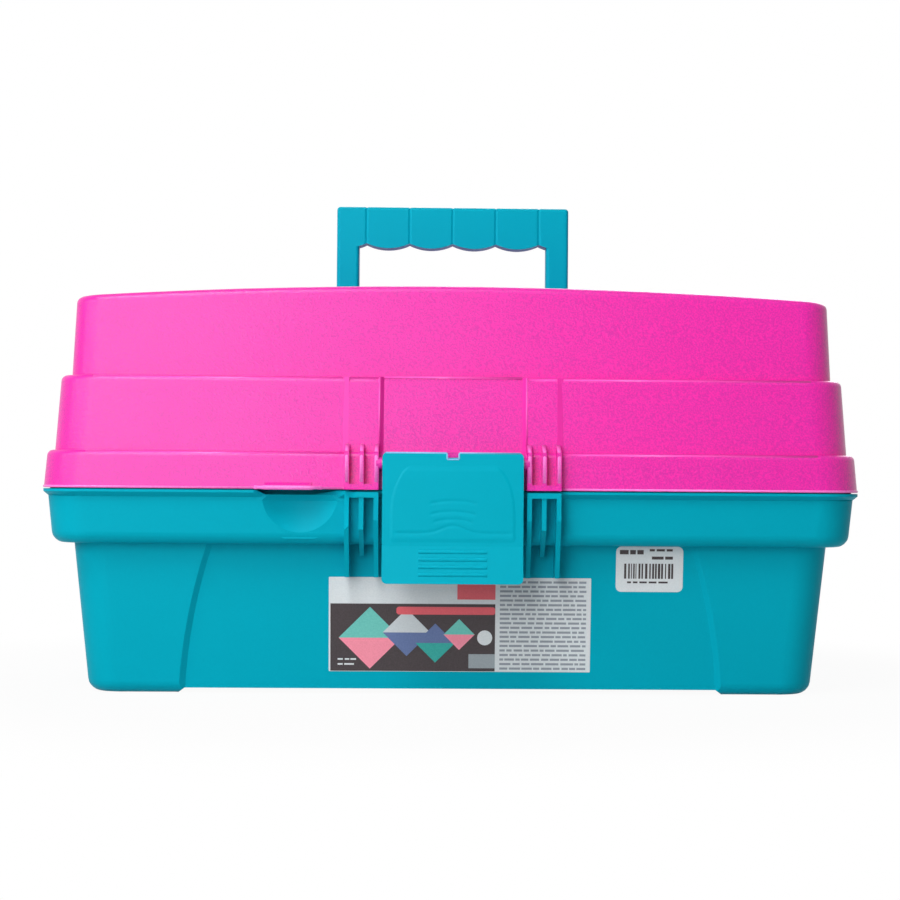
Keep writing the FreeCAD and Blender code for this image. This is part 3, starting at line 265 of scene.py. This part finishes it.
# Shoulder lines of the lid's two ledges, in the middle of the rounding and facing half up:
# (name, left x, right x, y, z)
LEDGES = (
    ("low_ledge_left", -157.0, -46.5, -94.94, 104.74),
    ("low_ledge_right", 46.5, 157.0, -94.94, 104.74),
    ("high_ledge_left", -155.0, -31.6, -88.54, 137.24),
    ("high_ledge_middle", -29.9, 29.9, -87.8, 137.9),
    ("high_ledge_right", 31.6, 155.0, -88.54, 137.24),
)
HALF_UP = (0.0, -0.7071, 0.7071)

FORWARD = (0.0, -1.0, 0.0)
SIDES = ((1, "right"), (-1, "left"))


def linear(code):
    """Linear RGBA of an sRGB hex code: each channel to the power of about 2.4."""
    channels = np.array([int(code[i:i + 2], 16) for i in (1, 3, 5)]) / 255.0
    low = channels / 12.92
    high = ((channels + 0.055) / 1.055) ** 2.4
    return (*np.where(channels <= 0.04045, low, high).tolist(), 1.0)


def add(tree, kind, sockets=None, **settings):
    """Adds a node with its settings, and fills each socket with a value or a link."""
    node = tree.nodes.new(kind)
    for name, value in settings.items():
        setattr(node, name, value)
    for name, value in (sockets or {}).items():
        if isinstance(value, bpy.types.NodeSocket):
            tree.links.new(value, node.inputs[name])
        else:
            node.inputs[name].default_value = value
    return node


def noise(tree, place, size, detail, roughness=0.5):
    """Noise with lumps about size millimetres wide."""
    node = add(tree, "ShaderNodeTexNoise",
               {"Vector": place, "Scale": 1 / (size * MM), "Detail": detail, "Roughness": roughness})
    return node.outputs["Fac"]


def remap(tree, value, source, target=(0.0, 1.0), **settings):
    """The value carried from the source range to the target range, and held at its ends."""
    node = add(tree, "ShaderNodeMapRange",
               {"Value": value, "From Min": source[0], "From Max": source[1],
                "To Min": target[0], "To Max": target[1]}, **settings)
    return node.outputs["Result"]


def calculate(tree, operation, first, second):
    """A sum, product or maximum of two values."""
    return add(tree, "ShaderNodeMath", {0: first, 1: second}, operation=operation).outputs[0]


def blend(tree, share, first, second):
    """Mix of two hex colours, from the first at share 0 to the second at share 1."""
    node = add(tree, "ShaderNodeMix",
               {0: share, 6: linear(first), 7: linear(second)}, data_type="RGBA")
    return node.outputs[2]


def new_material(name):
    """An empty node material, its tree, and the object's own coordinates in it."""
    material = bpy.data.materials.new(name)
    material.use_nodes = True
    tree = material.node_tree
    tree.nodes.clear()
    return material, tree, add(tree, "ShaderNodeTexCoord").outputs["Object"]


def moulded_polypropylene(name, colour, deep, roughness, specular, height, mottle):
    """Injection moulded polypropylene.

    Fine grain from the mould's spark-eroded or satin face gives a bump, height millimetres
    high, and a speckle from colour to deep that is stronger with more mottle. A slow cloud,
    as wide as a hand, varies colour and gloss as the plastic's flow does.
    """
    material, tree, place = new_material(name)
    grain = noise(tree, place, GRAIN, detail=3.0, roughness=0.6)
    cloud = noise(tree, place, CLOUD, detail=2.0)
    speckle = remap(tree, grain, GRAIN_SHOWN, (0.0, mottle))
    drift = remap(tree, cloud, CLOUD_SHOWN, (0.0, COLOUR_DRIFT))
    share = calculate(tree, "ADD", speckle, drift)
    gloss = remap(tree, cloud, CLOUD_SHOWN, (roughness - ROUGHNESS_DRIFT, roughness + ROUGHNESS_DRIFT))
    bump = add(tree, "ShaderNodeBump", {"Height": grain, "Distance": height * MM, "Strength": 1.0})
    shader = add(tree, "ShaderNodeBsdfPrincipled",
                 {"Base Color": blend(tree, share, colour, deep), "Roughness": gloss,
                  "Normal": bump.outputs["Normal"], "IOR": PLASTIC_IOR,
                  "Specular IOR Level": specular})
    add(tree, "ShaderNodeOutputMaterial", {"Surface": shader.outputs["BSDF"]})
    return material


def zinc_plated_steel():
    """Turned steel with bright zinc: low turning marks, and stains in a cool grey."""
    material, tree, place = new_material("zinc_plated_turned_steel")
    marks = add(tree, "ShaderNodeTexWave",
                {"Vector": place, "Scale": TURNING_SCALE, "Distortion": 1.5, "Detail": 2.0})
    stain = noise(tree, place, STAIN, detail=3.0)
    bump = add(tree, "ShaderNodeBump",
               {"Height": marks.outputs["Fac"], "Distance": TURNING_HIGH * MM, "Strength": 1.0})
    shader = add(tree, "ShaderNodeBsdfPrincipled",
                 {"Base Color": blend(tree, stain, "#C9CDD2", "#AEB2B6"), "Metallic": 1.0,
                  "Roughness": remap(tree, stain, STAIN_SHOWN, STEEL_ROUGHNESS),
                  "Normal": bump.outputs["Normal"]})
    add(tree, "ShaderNodeOutputMaterial", {"Surface": shader.outputs["BSDF"]})
    return material


def printed_vinyl(name, colour, worn):
    """Ink on a coated label: a faint fine print grain between the fresh and the worn tone."""
    material, tree, place = new_material(name)
    grain = noise(tree, place, PRINT_GRAIN, detail=4.0, roughness=0.7)
    share = remap(tree, grain, PRINT_GRAIN_SHOWN)
    shader = add(tree, "ShaderNodeBsdfPrincipled",
                 {"Base Color": blend(tree, share, colour, worn), "Roughness": PRINT_ROUGHNESS,
                  "IOR": PRINT_IOR, "Specular IOR Level": PRINT_SPECULAR})
    add(tree, "ShaderNodeOutputMaterial", {"Surface": shader.outputs["BSDF"]})
    return material


def surface(name, points, faces, materials, face_materials=None, smooth=False):
    """A mesh object from arrays of millimetre points and of faces."""
    mesh = bpy.data.meshes.new(name)
    mesh.from_pydata((np.asarray(points) * MM).tolist(), [], faces)
    for material in materials:
        mesh.materials.append(material)
    if face_materials is not None:
        mesh.polygons.foreach_set("material_index", face_materials)
    mesh.polygons.foreach_set("use_smooth", [smooth] * len(mesh.polygons))
    mesh.update()
    piece = bpy.data.objects.new(name, mesh)
    bpy.context.scene.collection.objects.link(piece)
    return piece


def eased(value):
    """Smooth rise of a value from 0 to 1: three times its square less twice its cube."""
    return value * value * (3.0 - 2.0 * value)


def panel_face(z):
    """Y of the sunk panel at height z: a straight lean from the foot forward."""
    return PANEL_FOOT_Y - PANEL_LEAN * z


def rounded_field(low_x, high_x, low_z, high_z, corner=0.0, steps=6):
    """Outline of a field: four corners, each a quarter circle about its own centre.

    A point of a corner is centre plus corner radius times (cos, sin) of the turn.
    """
    centres = ((high_x - corner, high_z - corner), (low_x + corner, high_z - corner),
               (low_x + corner, low_z + corner), (high_x - corner, low_z + corner))
    turn = np.linspace(0.0, np.pi / 2, steps)
    quarters = []
    for index, (x, z) in enumerate(centres):
        angle = turn + index * np.pi / 2
        quarters.append(np.stack([x + corner * np.cos(angle), z + corner * np.sin(angle)], axis=1))
    return np.concatenate(quarters)


def stuck_sheet(outline, lift, thick):
    """Points and faces of a thin closed sheet on the sunk panel.

    The outline, as (x, z) and anticlockwise, is carried through two layers: the panel's
    face less lift, and that less thick. The faces are the cut edge, the front and the back.
    """
    count = len(outline)
    layers = []
    for depth in (lift, lift + thick):
        y = panel_face(outline[:, 1]) - depth
        layers.append(np.column_stack([outline[:, 0], y, outline[:, 1]]))
    ring = np.arange(count)
    following = np.roll(ring, -1)
    edge = np.column_stack([ring, following, following + count, ring + count])
    back = ring[::-1].tolist()
    front = (ring + count).tolist()
    return np.concatenate(layers), [*edge.tolist(), front, back]


def sticker(name, sheets):
    """One piece from sheets given as (outline, lift, thickness, material)."""
    points = []
    faces = []
    marks = []
    materials = []
    offset = 0
    for outline, lift, thick, material in sheets:
        sheet_points, sheet_faces = stuck_sheet(outline, lift, thick)
        if material not in materials:
            materials.append(material)
        points.append(sheet_points)
        faces.extend([[corner + offset for corner in face] for face in sheet_faces])
        marks.extend([materials.index(material)] * len(sheet_faces))
        offset += len(sheet_points)
    return surface(name, np.concatenate(points), faces, materials, marks)


def dashes(low_x, high_x, z, tall, chance):
    """Row of plain dashes with gaps between them, like a line of print too small to read."""
    row = []
    x = low_x
    while x < high_x - DASH_ROOM:
        end = min(x + chance.uniform(*DASH_LONG), high_x)
        row.append(rounded_field(x, end, z - tall / 2, z + tall / 2))
        x = end + chance.uniform(*DASH_APART)
    return row


def main_label(inks):
    """Printed label: bare white strip, dark field with tilted tiles, panel of small print.

    The two grounds and the small print lie straight on the paper. Each further mark lies a
    little higher than the one before it, so that marks that overlap share no plane.
    """
    left, right = LABEL_X
    chance = np.random.default_rng(LABEL_SEED)
    sheets = [(rounded_field(left, right, *LABEL_Z, LABEL_CORNER), -SUNK, SUNK + PAPER, inks["paper"])]
    fields = [(rounded_field(*field), ink) for *field, ink in LABEL_GROUNDS]
    for x, z, half, upper, lower in TILES:
        fields.append((np.array([(x - half, z), (x + half, z), (x, z + half)]), upper))
        fields.append((np.array([(x - half, z), (x, z - half), (x + half, z)]), lower))
    fields.extend((rounded_field(*field), ink) for *field, ink in LABEL_MARKS)
    for z in CORNER_ROWS_Z:
        row = dashes(*CORNER_ROWS_X, z, CORNER_ROWS_TALL, chance)
        fields.extend((dash, "paper") for dash in row)
    for line in range(PRINT_ROWS):
        row = dashes(LABEL_SPLIT_X + PRINT_MARGIN, right - PRINT_MARGIN,
                     PRINT_TOP_Z - PRINT_STEP * line, PRINT_TALL, chance)
        fields.extend((dash, "rule") for dash in row)
    for order, (outline, ink) in enumerate(fields):
        on_ground = ink != "rule" and order >= len(LABEL_GROUNDS)
        lift = PAPER + INK * on_ground * (1 + LATER_SHARE * min(order, LATER_MOST))
        sheets.append((outline, lift, INK, inks[ink]))
    return sticker("main_label", sheets)


def small_sticker(inks):
    """Plain white sticker with rounded corners, some dashes and a block of upright bars."""
    left, right = STICKER_X
    foot = STICKER_Z[0]
    chance = np.random.default_rng(STICKER_SEED)
    sheets = [(rounded_field(left, right, *STICKER_Z, STICKER_CORNER), -SUNK, SUNK + PAPER,
               inks["paper"])]
    outlines = []
    x = left + BARS_MARGIN[0]
    while x < right - BARS_MARGIN[1]:
        wide = chance.uniform(*BAR_WIDE)
        outlines.append(rounded_field(x, x + wide, foot + BARS_Z[0], foot + BARS_Z[1]))
        x += wide + chance.uniform(*BAR_APART)
    for low_x, high_x, z, tall in STICKER_DASHES:
        outlines.extend(dashes(left + low_x, left + high_x, foot + z, tall, chance))
    sheets.extend((outline, PAPER, INK, inks["charcoal"]) for outline in outlines)
    return sticker("small_sticker", sheets)


def bead(name, path, outward, size, material):
    """Closed round bead along a path of points, with its size as (width, height).

    Across is the path's direction crossed with outward. A point of the bead is path plus
    half width times cos(turn) of across, plus height times sin(turn) of outward.
    """
    width, height = size
    step = np.gradient(path, axis=0)
    step /= np.linalg.norm(step, axis=1)[:, None]
    across = np.cross(step, outward)
    turn = np.linspace(0.0, 2 * np.pi, BEAD_SIDES, endpoint=False)
    ring = (across[:, None, :] * np.cos(turn)[None, :, None] * width / 2
            + outward[:, None, :] * np.sin(turn)[None, :, None] * height)
    points = (path[:, None, :] + ring).reshape(-1, 3)
    index = np.arange(len(points)).reshape(len(path), len(turn))
    near = np.roll(index, -1, axis=1)
    faces = np.stack([index[:-1], index[1:], near[1:], near[:-1]], axis=2).reshape(-1, 4).tolist()
    faces += [index[0].tolist(), index[-1][::-1].tolist()]
    return surface(name, points, faces, [material], smooth=True)


def level_bead(name, path, outward, level, size, material):
    """Bead along a path of (x, y) at one level."""
    path = np.column_stack([path, np.full(len(path), level)])
    outward = np.column_stack([outward, np.zeros(len(outward))])
    return bead(name, path, outward, size, material)


def latch_relief(material):
    """Raised shield on the latch's face, with a humped groove at its foot and three arcs.

    The height is SHIELD_HIGH where the point lies inside the shield's edge, and fades out
    across that edge, at the foot and at the top. Each groove takes away GROOVE_DEEP times
    exp(-(distance / GROOVE_HALF) squared).
    """
    x, z = np.meshgrid(np.linspace(-RELIEF_HALF_X, RELIEF_HALF_X, RELIEF_GRID[0]),
                       np.linspace(*RELIEF_Z, RELIEF_GRID[1]))
    edge_z, edge_x = np.array(SHIELD_EDGE).T
    inside = np.interp(z, edge_z, edge_x) - np.abs(x)
    ends = np.minimum((z - SHIELD_FOOT) / SHIELD_FOOT_FADE, (SHIELD_TOP - z) / SHIELD_TOP_FADE)
    rise = eased(np.clip(inside / SHIELD_FADE + 0.5, 0.0, 1.0) * np.clip(ends, 0.0, 1.0))
    high = SHIELD_HIGH * rise
    grooves = [(HUMPED_Z + HUMP_HIGH * np.exp(-(x / HUMP_HALF_X) ** 2), HUMPED_HALF_X)]
    grooves += [(middle - ARC_SAG * (x / half) ** 2, half) for middle, half in ARCS]
    for line, half in grooves:
        shown = np.clip((half - np.abs(x)) / GROOVE_FADE, 0.0, 1.0)
        high -= GROOVE_DEEP * shown * rise * np.exp(-((z - line) / GROOVE_HALF) ** 2)
    points = np.stack([x, LATCH_FACE_Y + RELIEF_SUNK - high, z], axis=2)
    rows, columns = x.shape
    index = np.arange(rows * columns).reshape(rows, columns)
    quads = np.stack([index[:-1, :-1], index[:-1, 1:], index[1:, 1:], index[1:, :-1]], axis=2)
    rim = np.concatenate([index[0, :-1], index[:-1, -1], index[-1, :0:-1], index[:0:-1, 0]])
    faces = quads.reshape(-1, 4).tolist() + [rim[::-1].tolist()]
    return surface("latch_shield", points.reshape(-1, 3), faces, [material], smooth=True)


def notch_floor(material):
    """Low sill in the latch's notch, which hides the barrel behind it."""
    half = NOTCH[0] + SILL_OVERLAP
    foot = LATCH_TOP - NOTCH[1] - SILL_OVERLAP
    top = LATCH_TOP - NOTCH_SHOWN
    outline = ((-half, foot), (half, foot), (half, top), (-half, top))
    points = [(x, LATCH_FACE_Y + depth, z) for depth in SILL_Y for x, z in outline]
    faces = [(0, 1, 2, 3), (7, 6, 5, 4), (0, 4, 5, 1), (1, 5, 6, 2), (2, 6, 7, 3), (3, 7, 4, 0)]
    return surface("notch_sill", points, faces, [material])


def latch_edge(material):
    """Rounded edge along the top of the latch and round its notch.

    The right half of the line, as (x, height over the top), is repeated as its mirror image.
    """
    half = NOTCH[0]
    right = [(half - NOTCH_CUT, -NOTCH_SHOWN), (half, -NOTCH_SHOWN + NOTCH_CUT), (half, -NOTCH_CUT),
             (half + NOTCH_CUT, 0.0), (LATCH_HALF_X - TOP_BEAD_SHORT, 0.0)]
    flat = np.array([(-x, z) for x, z in right[::-1]] + right)
    path = np.column_stack([flat[:, 0], np.full(len(flat), LATCH_FACE_Y + TOP_BEAD_IN),
                            LATCH_TOP - TOP_BEAD_IN + flat[:, 1]])
    outward = np.tile(FORWARD, (len(path), 1))
    return bead("latch_top_edge", path, outward, LATCH_BEAD, material)


def round_the_box(half_x, half_y, corner, start, end):
    """Path round the box from start to end, and its outward direction at each point.

    The path turns the corners at +X and -Y, +X and +Y, -X and +Y, and -X and -Y. A point of
    a corner is its centre plus corner times (cos, sin) of the turn.
    """
    turn = np.linspace(0.0, np.pi / 2, CORNER_STEPS)
    path = [start]
    outward = [FORWARD[:2]]
    for quarter, (side_x, side_y) in enumerate(((1, -1), (1, 1), (-1, 1), (-1, -1))):
        angle = turn + (quarter - 1) * np.pi / 2
        for direction in np.column_stack([np.cos(angle), np.sin(angle)]):
            path.append((side_x * (half_x - corner) + corner * direction[0],
                         side_y * (half_y - corner) + corner * direction[1]))
            outward.append(tuple(direction))
    path.append(end)
    outward.append(FORWARD[:2])
    return np.array(path), np.array(outward)


def lid_foot_edge(material):
    """Rounded edge round the foot of the lid, from the guard ribs round the back."""
    half_x, half_y = LID_FOOT
    end_x = RIB_OUTER_X - RIB_OVERLAP
    path, outward = round_the_box(half_x, half_y, LID_CORNER, (end_x, -half_y), (-end_x, -half_y))
    return level_bead("lid_foot_edge", path, outward, LID_FOOT_Z + FOOT_BEAD_UP, FOOT_BEAD, material)


def rim_seals(material):
    """Low bead on the tub's rim that closes the gap under the lid, in two runs beside the dip.

    Each run keeps the points of its own side in front of the middle, and a tail along the end.
    """
    half_x = LID_FOOT[0] - SEAL_INSET
    half_y = LID_FOOT[1] - SEAL_INSET
    path, outward = round_the_box(half_x, half_y, LID_CORNER - SEAL_INSET,
                                  (DIP_X[1], -half_y), (DIP_X[0], -half_y))
    ahead = path[:, 1] < 0
    pieces = []
    for side, end in SIDES:
        kept = ahead & (side * (path[:, 0] - DIP_X[0] - DIP_ROOM) > 0)
        runs = [path[kept], np.array([[side * half_x, SEAL_BACK_Y]])]
        ways = [outward[kept], np.array([[float(side), 0.0]])]
        run, way = (np.concatenate(parts[::side]) for parts in (runs, ways))
        pieces.append(level_bead("rim_seal_" + end, run, way, SEAL_Z, SEAL_BEAD, material))
    return pieces


def lip_cap(material):
    """Rounded front of the lifting lip, which fades back into the lid beyond both its ends."""
    low_x, high_x = LIP_X
    x = np.linspace(low_x - LIP_FADE, high_x + LIP_FADE, LIP_STEPS)
    reach = eased(np.clip(np.minimum(x - x[0], x[-1] - x) / LIP_FADE, 0.0, 1.0))
    y = -LID_FOOT[1] + LIP_TUCK + (LIP_FRONT_Y + LID_FOOT[1] - LIP_TUCK) * reach
    outward = np.tile(FORWARD[:2], (len(x), 1))
    return level_bead("lift_lip_cap", np.column_stack([x, y]), outward, LIP_Z, LIP_BEAD, material)


def corner_fillet(name, corners, material):
    """Closed three-sided bar: the first triangle of corners at its foot, the second at its top."""
    faces = [(0, 1, 2), (5, 4, 3), (0, 3, 4, 1), (1, 4, 5, 2), (2, 5, 3, 0)]
    return surface(name, np.concatenate(corners), faces, [material])


def tier_bars(material):
    """Sloping sides of the sunk field behind the latch, and of the low strips beside it.

    Each bar is a triangle in (x, depth before the tier's face), carried along the face.
    """
    pieces = []
    floor = -FIELD_DEEP - TUCK
    field = ((FIELD_HALF_X + TUCK, STRIP_PROUD), (FIELD_HALF_X + TUCK, floor),
             (FIELD_HALF_X - FIELD_SLOPE, floor))
    strip = ((STRIP_HALF_X - TUCK, STRIP_PROUD), (STRIP_HALF_X - TUCK, -STRIP_TUCK),
             (STRIP_HALF_X + STRIP_SLOPE, -STRIP_TUCK))
    for name, triangle in (("field_side", field), ("strip_side", strip)):
        for side, end in SIDES:
            rings = [[(side * x, y - proud, z) for x, proud in triangle]
                     for y, z in (TIER_FOOT, TIER_TOP)]
            if (name == "strip_side") != (side < 0):
                rings = [ring[::-1] for ring in rings]
            pieces.append(corner_fillet(name + "_" + end, rings, material))
    return pieces


def field_edges(material):
    """Rounded upright edges of the strips where they meet the sunk field."""
    in_x, in_y = FIELD_BEAD_IN
    pieces = []
    for side, end in SIDES:
        path = np.array([(side * (FIELD_HALF_X + in_x), y - STRIP_PROUD + in_y, z)
                         for y, z in (TIER_FOOT, TIER_TOP)])
        outward = np.tile(FORWARD, (len(path), 1))
        pieces.append(bead("field_edge_" + end, path, outward, FIELD_BEAD, material))
    return pieces


def ledge_lines(material):
    """Rounded shoulder lines along the front of the lid's two ledges, beside and in the field."""
    pieces = []
    for name, low_x, high_x, y, z in LEDGES:
        path = np.array([(low_x, y, z), (high_x, y, z)])
        pieces.append(bead(name, path, np.array([HALF_UP, HALF_UP]), LEDGE_BEAD, material))
    return pieces


def rib_fronts(material):
    """Rounded fronts of the lid's guard ribs, from the foot up and over their sloping tops."""
    pieces = []
    for side, end in SIDES:
        for number, x in enumerate(RIB_XS, 1):
            path = np.array([(side * x, y + RIB_SUNK, z) for y, z in RIB_LINE])
            pieces.append(bead(f"rib_front_{end}_{number}", path, np.array(RIB_OUTWARD),
                               RIB_BEAD, material))
    return pieces


def make_camera():
    """Camera turned from looking along +Y: by yaw about Z, by pitch about X, then by roll."""
    data = bpy.data.cameras.new("camera")
    data.sensor_width = SENSOR_WIDTH
    data.lens = CAMERA_FOCUS_PX / IMAGE_WIDTH_PX * SENSOR_WIDTH
    data.shift_x = -PRINCIPAL_POINT_PX / IMAGE_WIDTH_PX
    camera = bpy.data.objects.new("camera", data)
    turn = (Matrix.Rotation(np.radians(-CAMERA_YAW), 4, "Z")
            @ Matrix.Rotation(np.radians(90.0 + CAMERA_PITCH), 4, "X")
            @ Matrix.Rotation(np.radians(CAMERA_ROLL), 4, "Z"))
    camera.matrix_world = Matrix.Translation(Vector(CAMERA_PLACE) * MM) @ turn
    bpy.context.scene.collection.objects.link(camera)
    bpy.context.scene.camera = camera


def make_lights():
    """Softboxes, each aimed at the middle of the box."""
    for name, place, width, height, power in SOFTBOXES:
        data = bpy.data.lights.new(name, "AREA")
        data.shape = "RECTANGLE"
        data.size = width * MM
        data.size_y = height * MM
        data.energy = power
        lamp = bpy.data.objects.new(name, data)
        lamp.location = Vector(place) * MM
        lamp.rotation_euler = ((Vector(AIM) - Vector(place)) * MM).to_track_quat("-Z", "Y").to_euler()
        bpy.context.scene.collection.objects.link(lamp)


def seen_rays(tree):
    """1 for rays from the camera, a glossy surface or a clear one, and 0 for light on the object."""
    rays = add(tree, "ShaderNodeLightPath").outputs
    either = calculate(tree, "MAXIMUM", rays["Is Camera Ray"], rays["Is Glossy Ray"])
    return calculate(tree, "MAXIMUM", either, rays["Is Transmission Ray"])


def make_world():
    """White where it is seen, and a plain soft level of light on the object."""
    world = bpy.data.worlds.new("studio")
    world.use_nodes = True
    tree = world.node_tree
    tree.nodes.clear()
    strength = remap(tree, seen_rays(tree), (0.0, 1.0), (AMBIENT, 1.0))
    sky = add(tree, "ShaderNodeBackground", {"Color": linear("#FFFFFF"), "Strength": strength})
    add(tree, "ShaderNodeOutputWorld", {"Surface": sky.outputs["Background"]})
    bpy.context.scene.world = world


def make_floor():
    """White paper floor. Seen from the camera it turns to plain white away from the box."""
    material, tree, place = new_material("matt_white_paper")
    distance = add(tree, "ShaderNodeVectorMath", {0: place}, operation="LENGTH").outputs["Value"]
    fade = remap(tree, distance, (FADE_START * MM, FADE_END * MM), (FLOOR_LIFT, 1.0),
                 interpolation_type="SMOOTHSTEP")
    share = calculate(tree, "MULTIPLY", fade, seen_rays(tree))
    tone = blend(tree, noise(tree, place, FIBRE, detail=3.0), "#D2D2D1", "#CDCDCC")
    paper = add(tree, "ShaderNodeBsdfDiffuse", {"Color": tone})
    white = add(tree, "ShaderNodeEmission", {"Color": linear("#FFFFFF"), "Strength": 1.0})
    both = add(tree, "ShaderNodeMixShader", {0: share, 1: paper.outputs[0], 2: white.outputs[0]})
    add(tree, "ShaderNodeOutputMaterial", {"Surface": both.outputs[0]})
    half = FLOOR_HALF
    floor = surface("floor", [(-half, -half, 0), (half, -half, 0), (half, half, 0), (-half, half, 0)],
                    [(0, 1, 2, 3)], [material])


def finish_for(node, finishes):
    """The finish of a CAD node: the first whose start of a name fits."""
    return next(finish for start, finish in finishes if node.startswith(start))


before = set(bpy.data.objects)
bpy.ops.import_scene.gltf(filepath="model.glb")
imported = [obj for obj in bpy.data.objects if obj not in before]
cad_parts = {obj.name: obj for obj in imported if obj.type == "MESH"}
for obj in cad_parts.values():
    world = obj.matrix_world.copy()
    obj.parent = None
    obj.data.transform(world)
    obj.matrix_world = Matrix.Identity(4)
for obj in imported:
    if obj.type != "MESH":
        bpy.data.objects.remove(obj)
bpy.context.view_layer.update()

bpy.context.scene.view_settings.view_transform = "Standard"
make_camera()
make_lights()
make_world()
make_floor()

# The lid's mould is spark-eroded, so its face is speckled; the tub's mould is plain satin
PINK = moulded_polypropylene("spark_textured_pink_polypropylene", "#F214A6", "#CE1099",
                             roughness=0.32, specular=0.5, height=0.14, mottle=0.85)
PINK_ARM = moulded_polypropylene("satin_pink_polypropylene", "#EA2FA6", "#DC2798",
                                 roughness=0.42, specular=0.35, height=0.01, mottle=0.2)
TURQUOISE = moulded_polypropylene("satin_turquoise_polypropylene", "#00A1B7", "#0096AC",
                                  roughness=0.45, specular=0.04, height=0.006, mottle=0.2)
LATCH_TURQUOISE = moulded_polypropylene("smooth_turquoise_polypropylene", "#00A4BA", "#009AB0",
                                        roughness=0.4, specular=0.05, height=0.004, mottle=0.15)
# Beads on thin edges are painted paler than the faces beside them: a painted highlight where their
# rounding catches the light
PINK_EDGE_HIGHLIGHT = moulded_polypropylene("pink_polypropylene_edge_painted_highlight", "#F77ED2", "#EC5ABC",
                                    roughness=0.35, specular=0.5, height=0.01, mottle=0.5)
# Paler pink on the ledge shoulders and the field's edges: painted sheen of the lamps on their rounding
PINK_EDGE_SHEEN = moulded_polypropylene("pink_polypropylene_edge_painted_sheen", "#F44CB8", "#EA3EAA",
                                       roughness=0.3, specular=0.6, height=0.01, mottle=0.5)
# Pale blue on the latch's top edge: a painted highlight, the reflection of white light on its rounded
# edge
TURQUOISE_EDGE_HIGHLIGHT = moulded_polypropylene("turquoise_polypropylene_edge_painted_highlight", "#7FBEE6", "#62AEDA",
                                         roughness=0.35, specular=0.5, height=0.01, mottle=0.5)
STEEL = zinc_plated_steel()
INKS = {
    "paper": printed_vinyl("coated_white_label_paper", "#D6DBDD", "#CCD2D5"),
    "charcoal": printed_vinyl("printed_charcoal_ink", "#453D40", "#3B3436"),
    "red": printed_vinyl("printed_red_ink", "#E0626B", "#D65A64"),
    "grey": printed_vinyl("printed_grey_ink", "#98A1A6", "#8F989D"),
    "silver": printed_vinyl("printed_silver_grey_ink", "#C6CCCF", "#BBC2C6"),
    "slate": printed_vinyl("printed_slate_blue_ink", "#62739F", "#596A94"),
    "mint": printed_vinyl("printed_mint_ink", "#6CC0B6", "#61B4AB"),
    "teal": printed_vinyl("printed_teal_ink", "#35A79F", "#2C9B93"),
    "pink": printed_vinyl("printed_pale_pink_ink", "#F08FA3", "#E68598"),
    "rule": printed_vinyl("printed_pale_grey_ink", "#9097A0", "#878E97"),
}
# Start of a CAD node's name, and its finish. The first that fits counts, so hinge pins and
# rivets get the last.
FINISHES = (
    ("lid_link", PINK_ARM),
    ("lid", PINK),
    ("rear_arm", PINK_ARM),
    ("front_arm", PINK_ARM),
    ("latch_pin", STEEL),
    ("latch", LATCH_TURQUOISE),
    ("handle_pin", STEEL),
    ("handle", LATCH_TURQUOISE),
    ("base_tub", TURQUOISE),
    ("lower_tray", TURQUOISE),
    ("upper_tray", TURQUOISE),
    ("lower_divider", TURQUOISE),
    ("upper_divider", TURQUOISE),
    ("", STEEL),
)
for node_name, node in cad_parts.items():
    for material_slot in node.material_slots:
        material_slot.material = finish_for(node_name, FINISHES)

for piece in (main_label(INKS), small_sticker(INKS), *rim_seals(TURQUOISE)):
    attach(piece, "base")
# The latch's top edge bead carries the painted highlight
for piece in (latch_relief(LATCH_TURQUOISE), latch_edge(TURQUOISE_EDGE_HIGHLIGHT),
              notch_floor(LATCH_TURQUOISE)):
    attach(piece, "latch")
# The lid's foot edge, lifting lip cap and rib fronts carry the painted highlight
for piece in (lid_foot_edge(PINK_EDGE_HIGHLIGHT), lip_cap(PINK_EDGE_HIGHLIGHT), *rib_fronts(PINK_EDGE_HIGHLIGHT),
              # The ledge lines and field edges carry the painted sheen
              *ledge_lines(PINK_EDGE_SHEEN), *tier_bars(PINK_ARM), *field_edges(PINK_EDGE_SHEEN)):
    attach(piece, "lid")
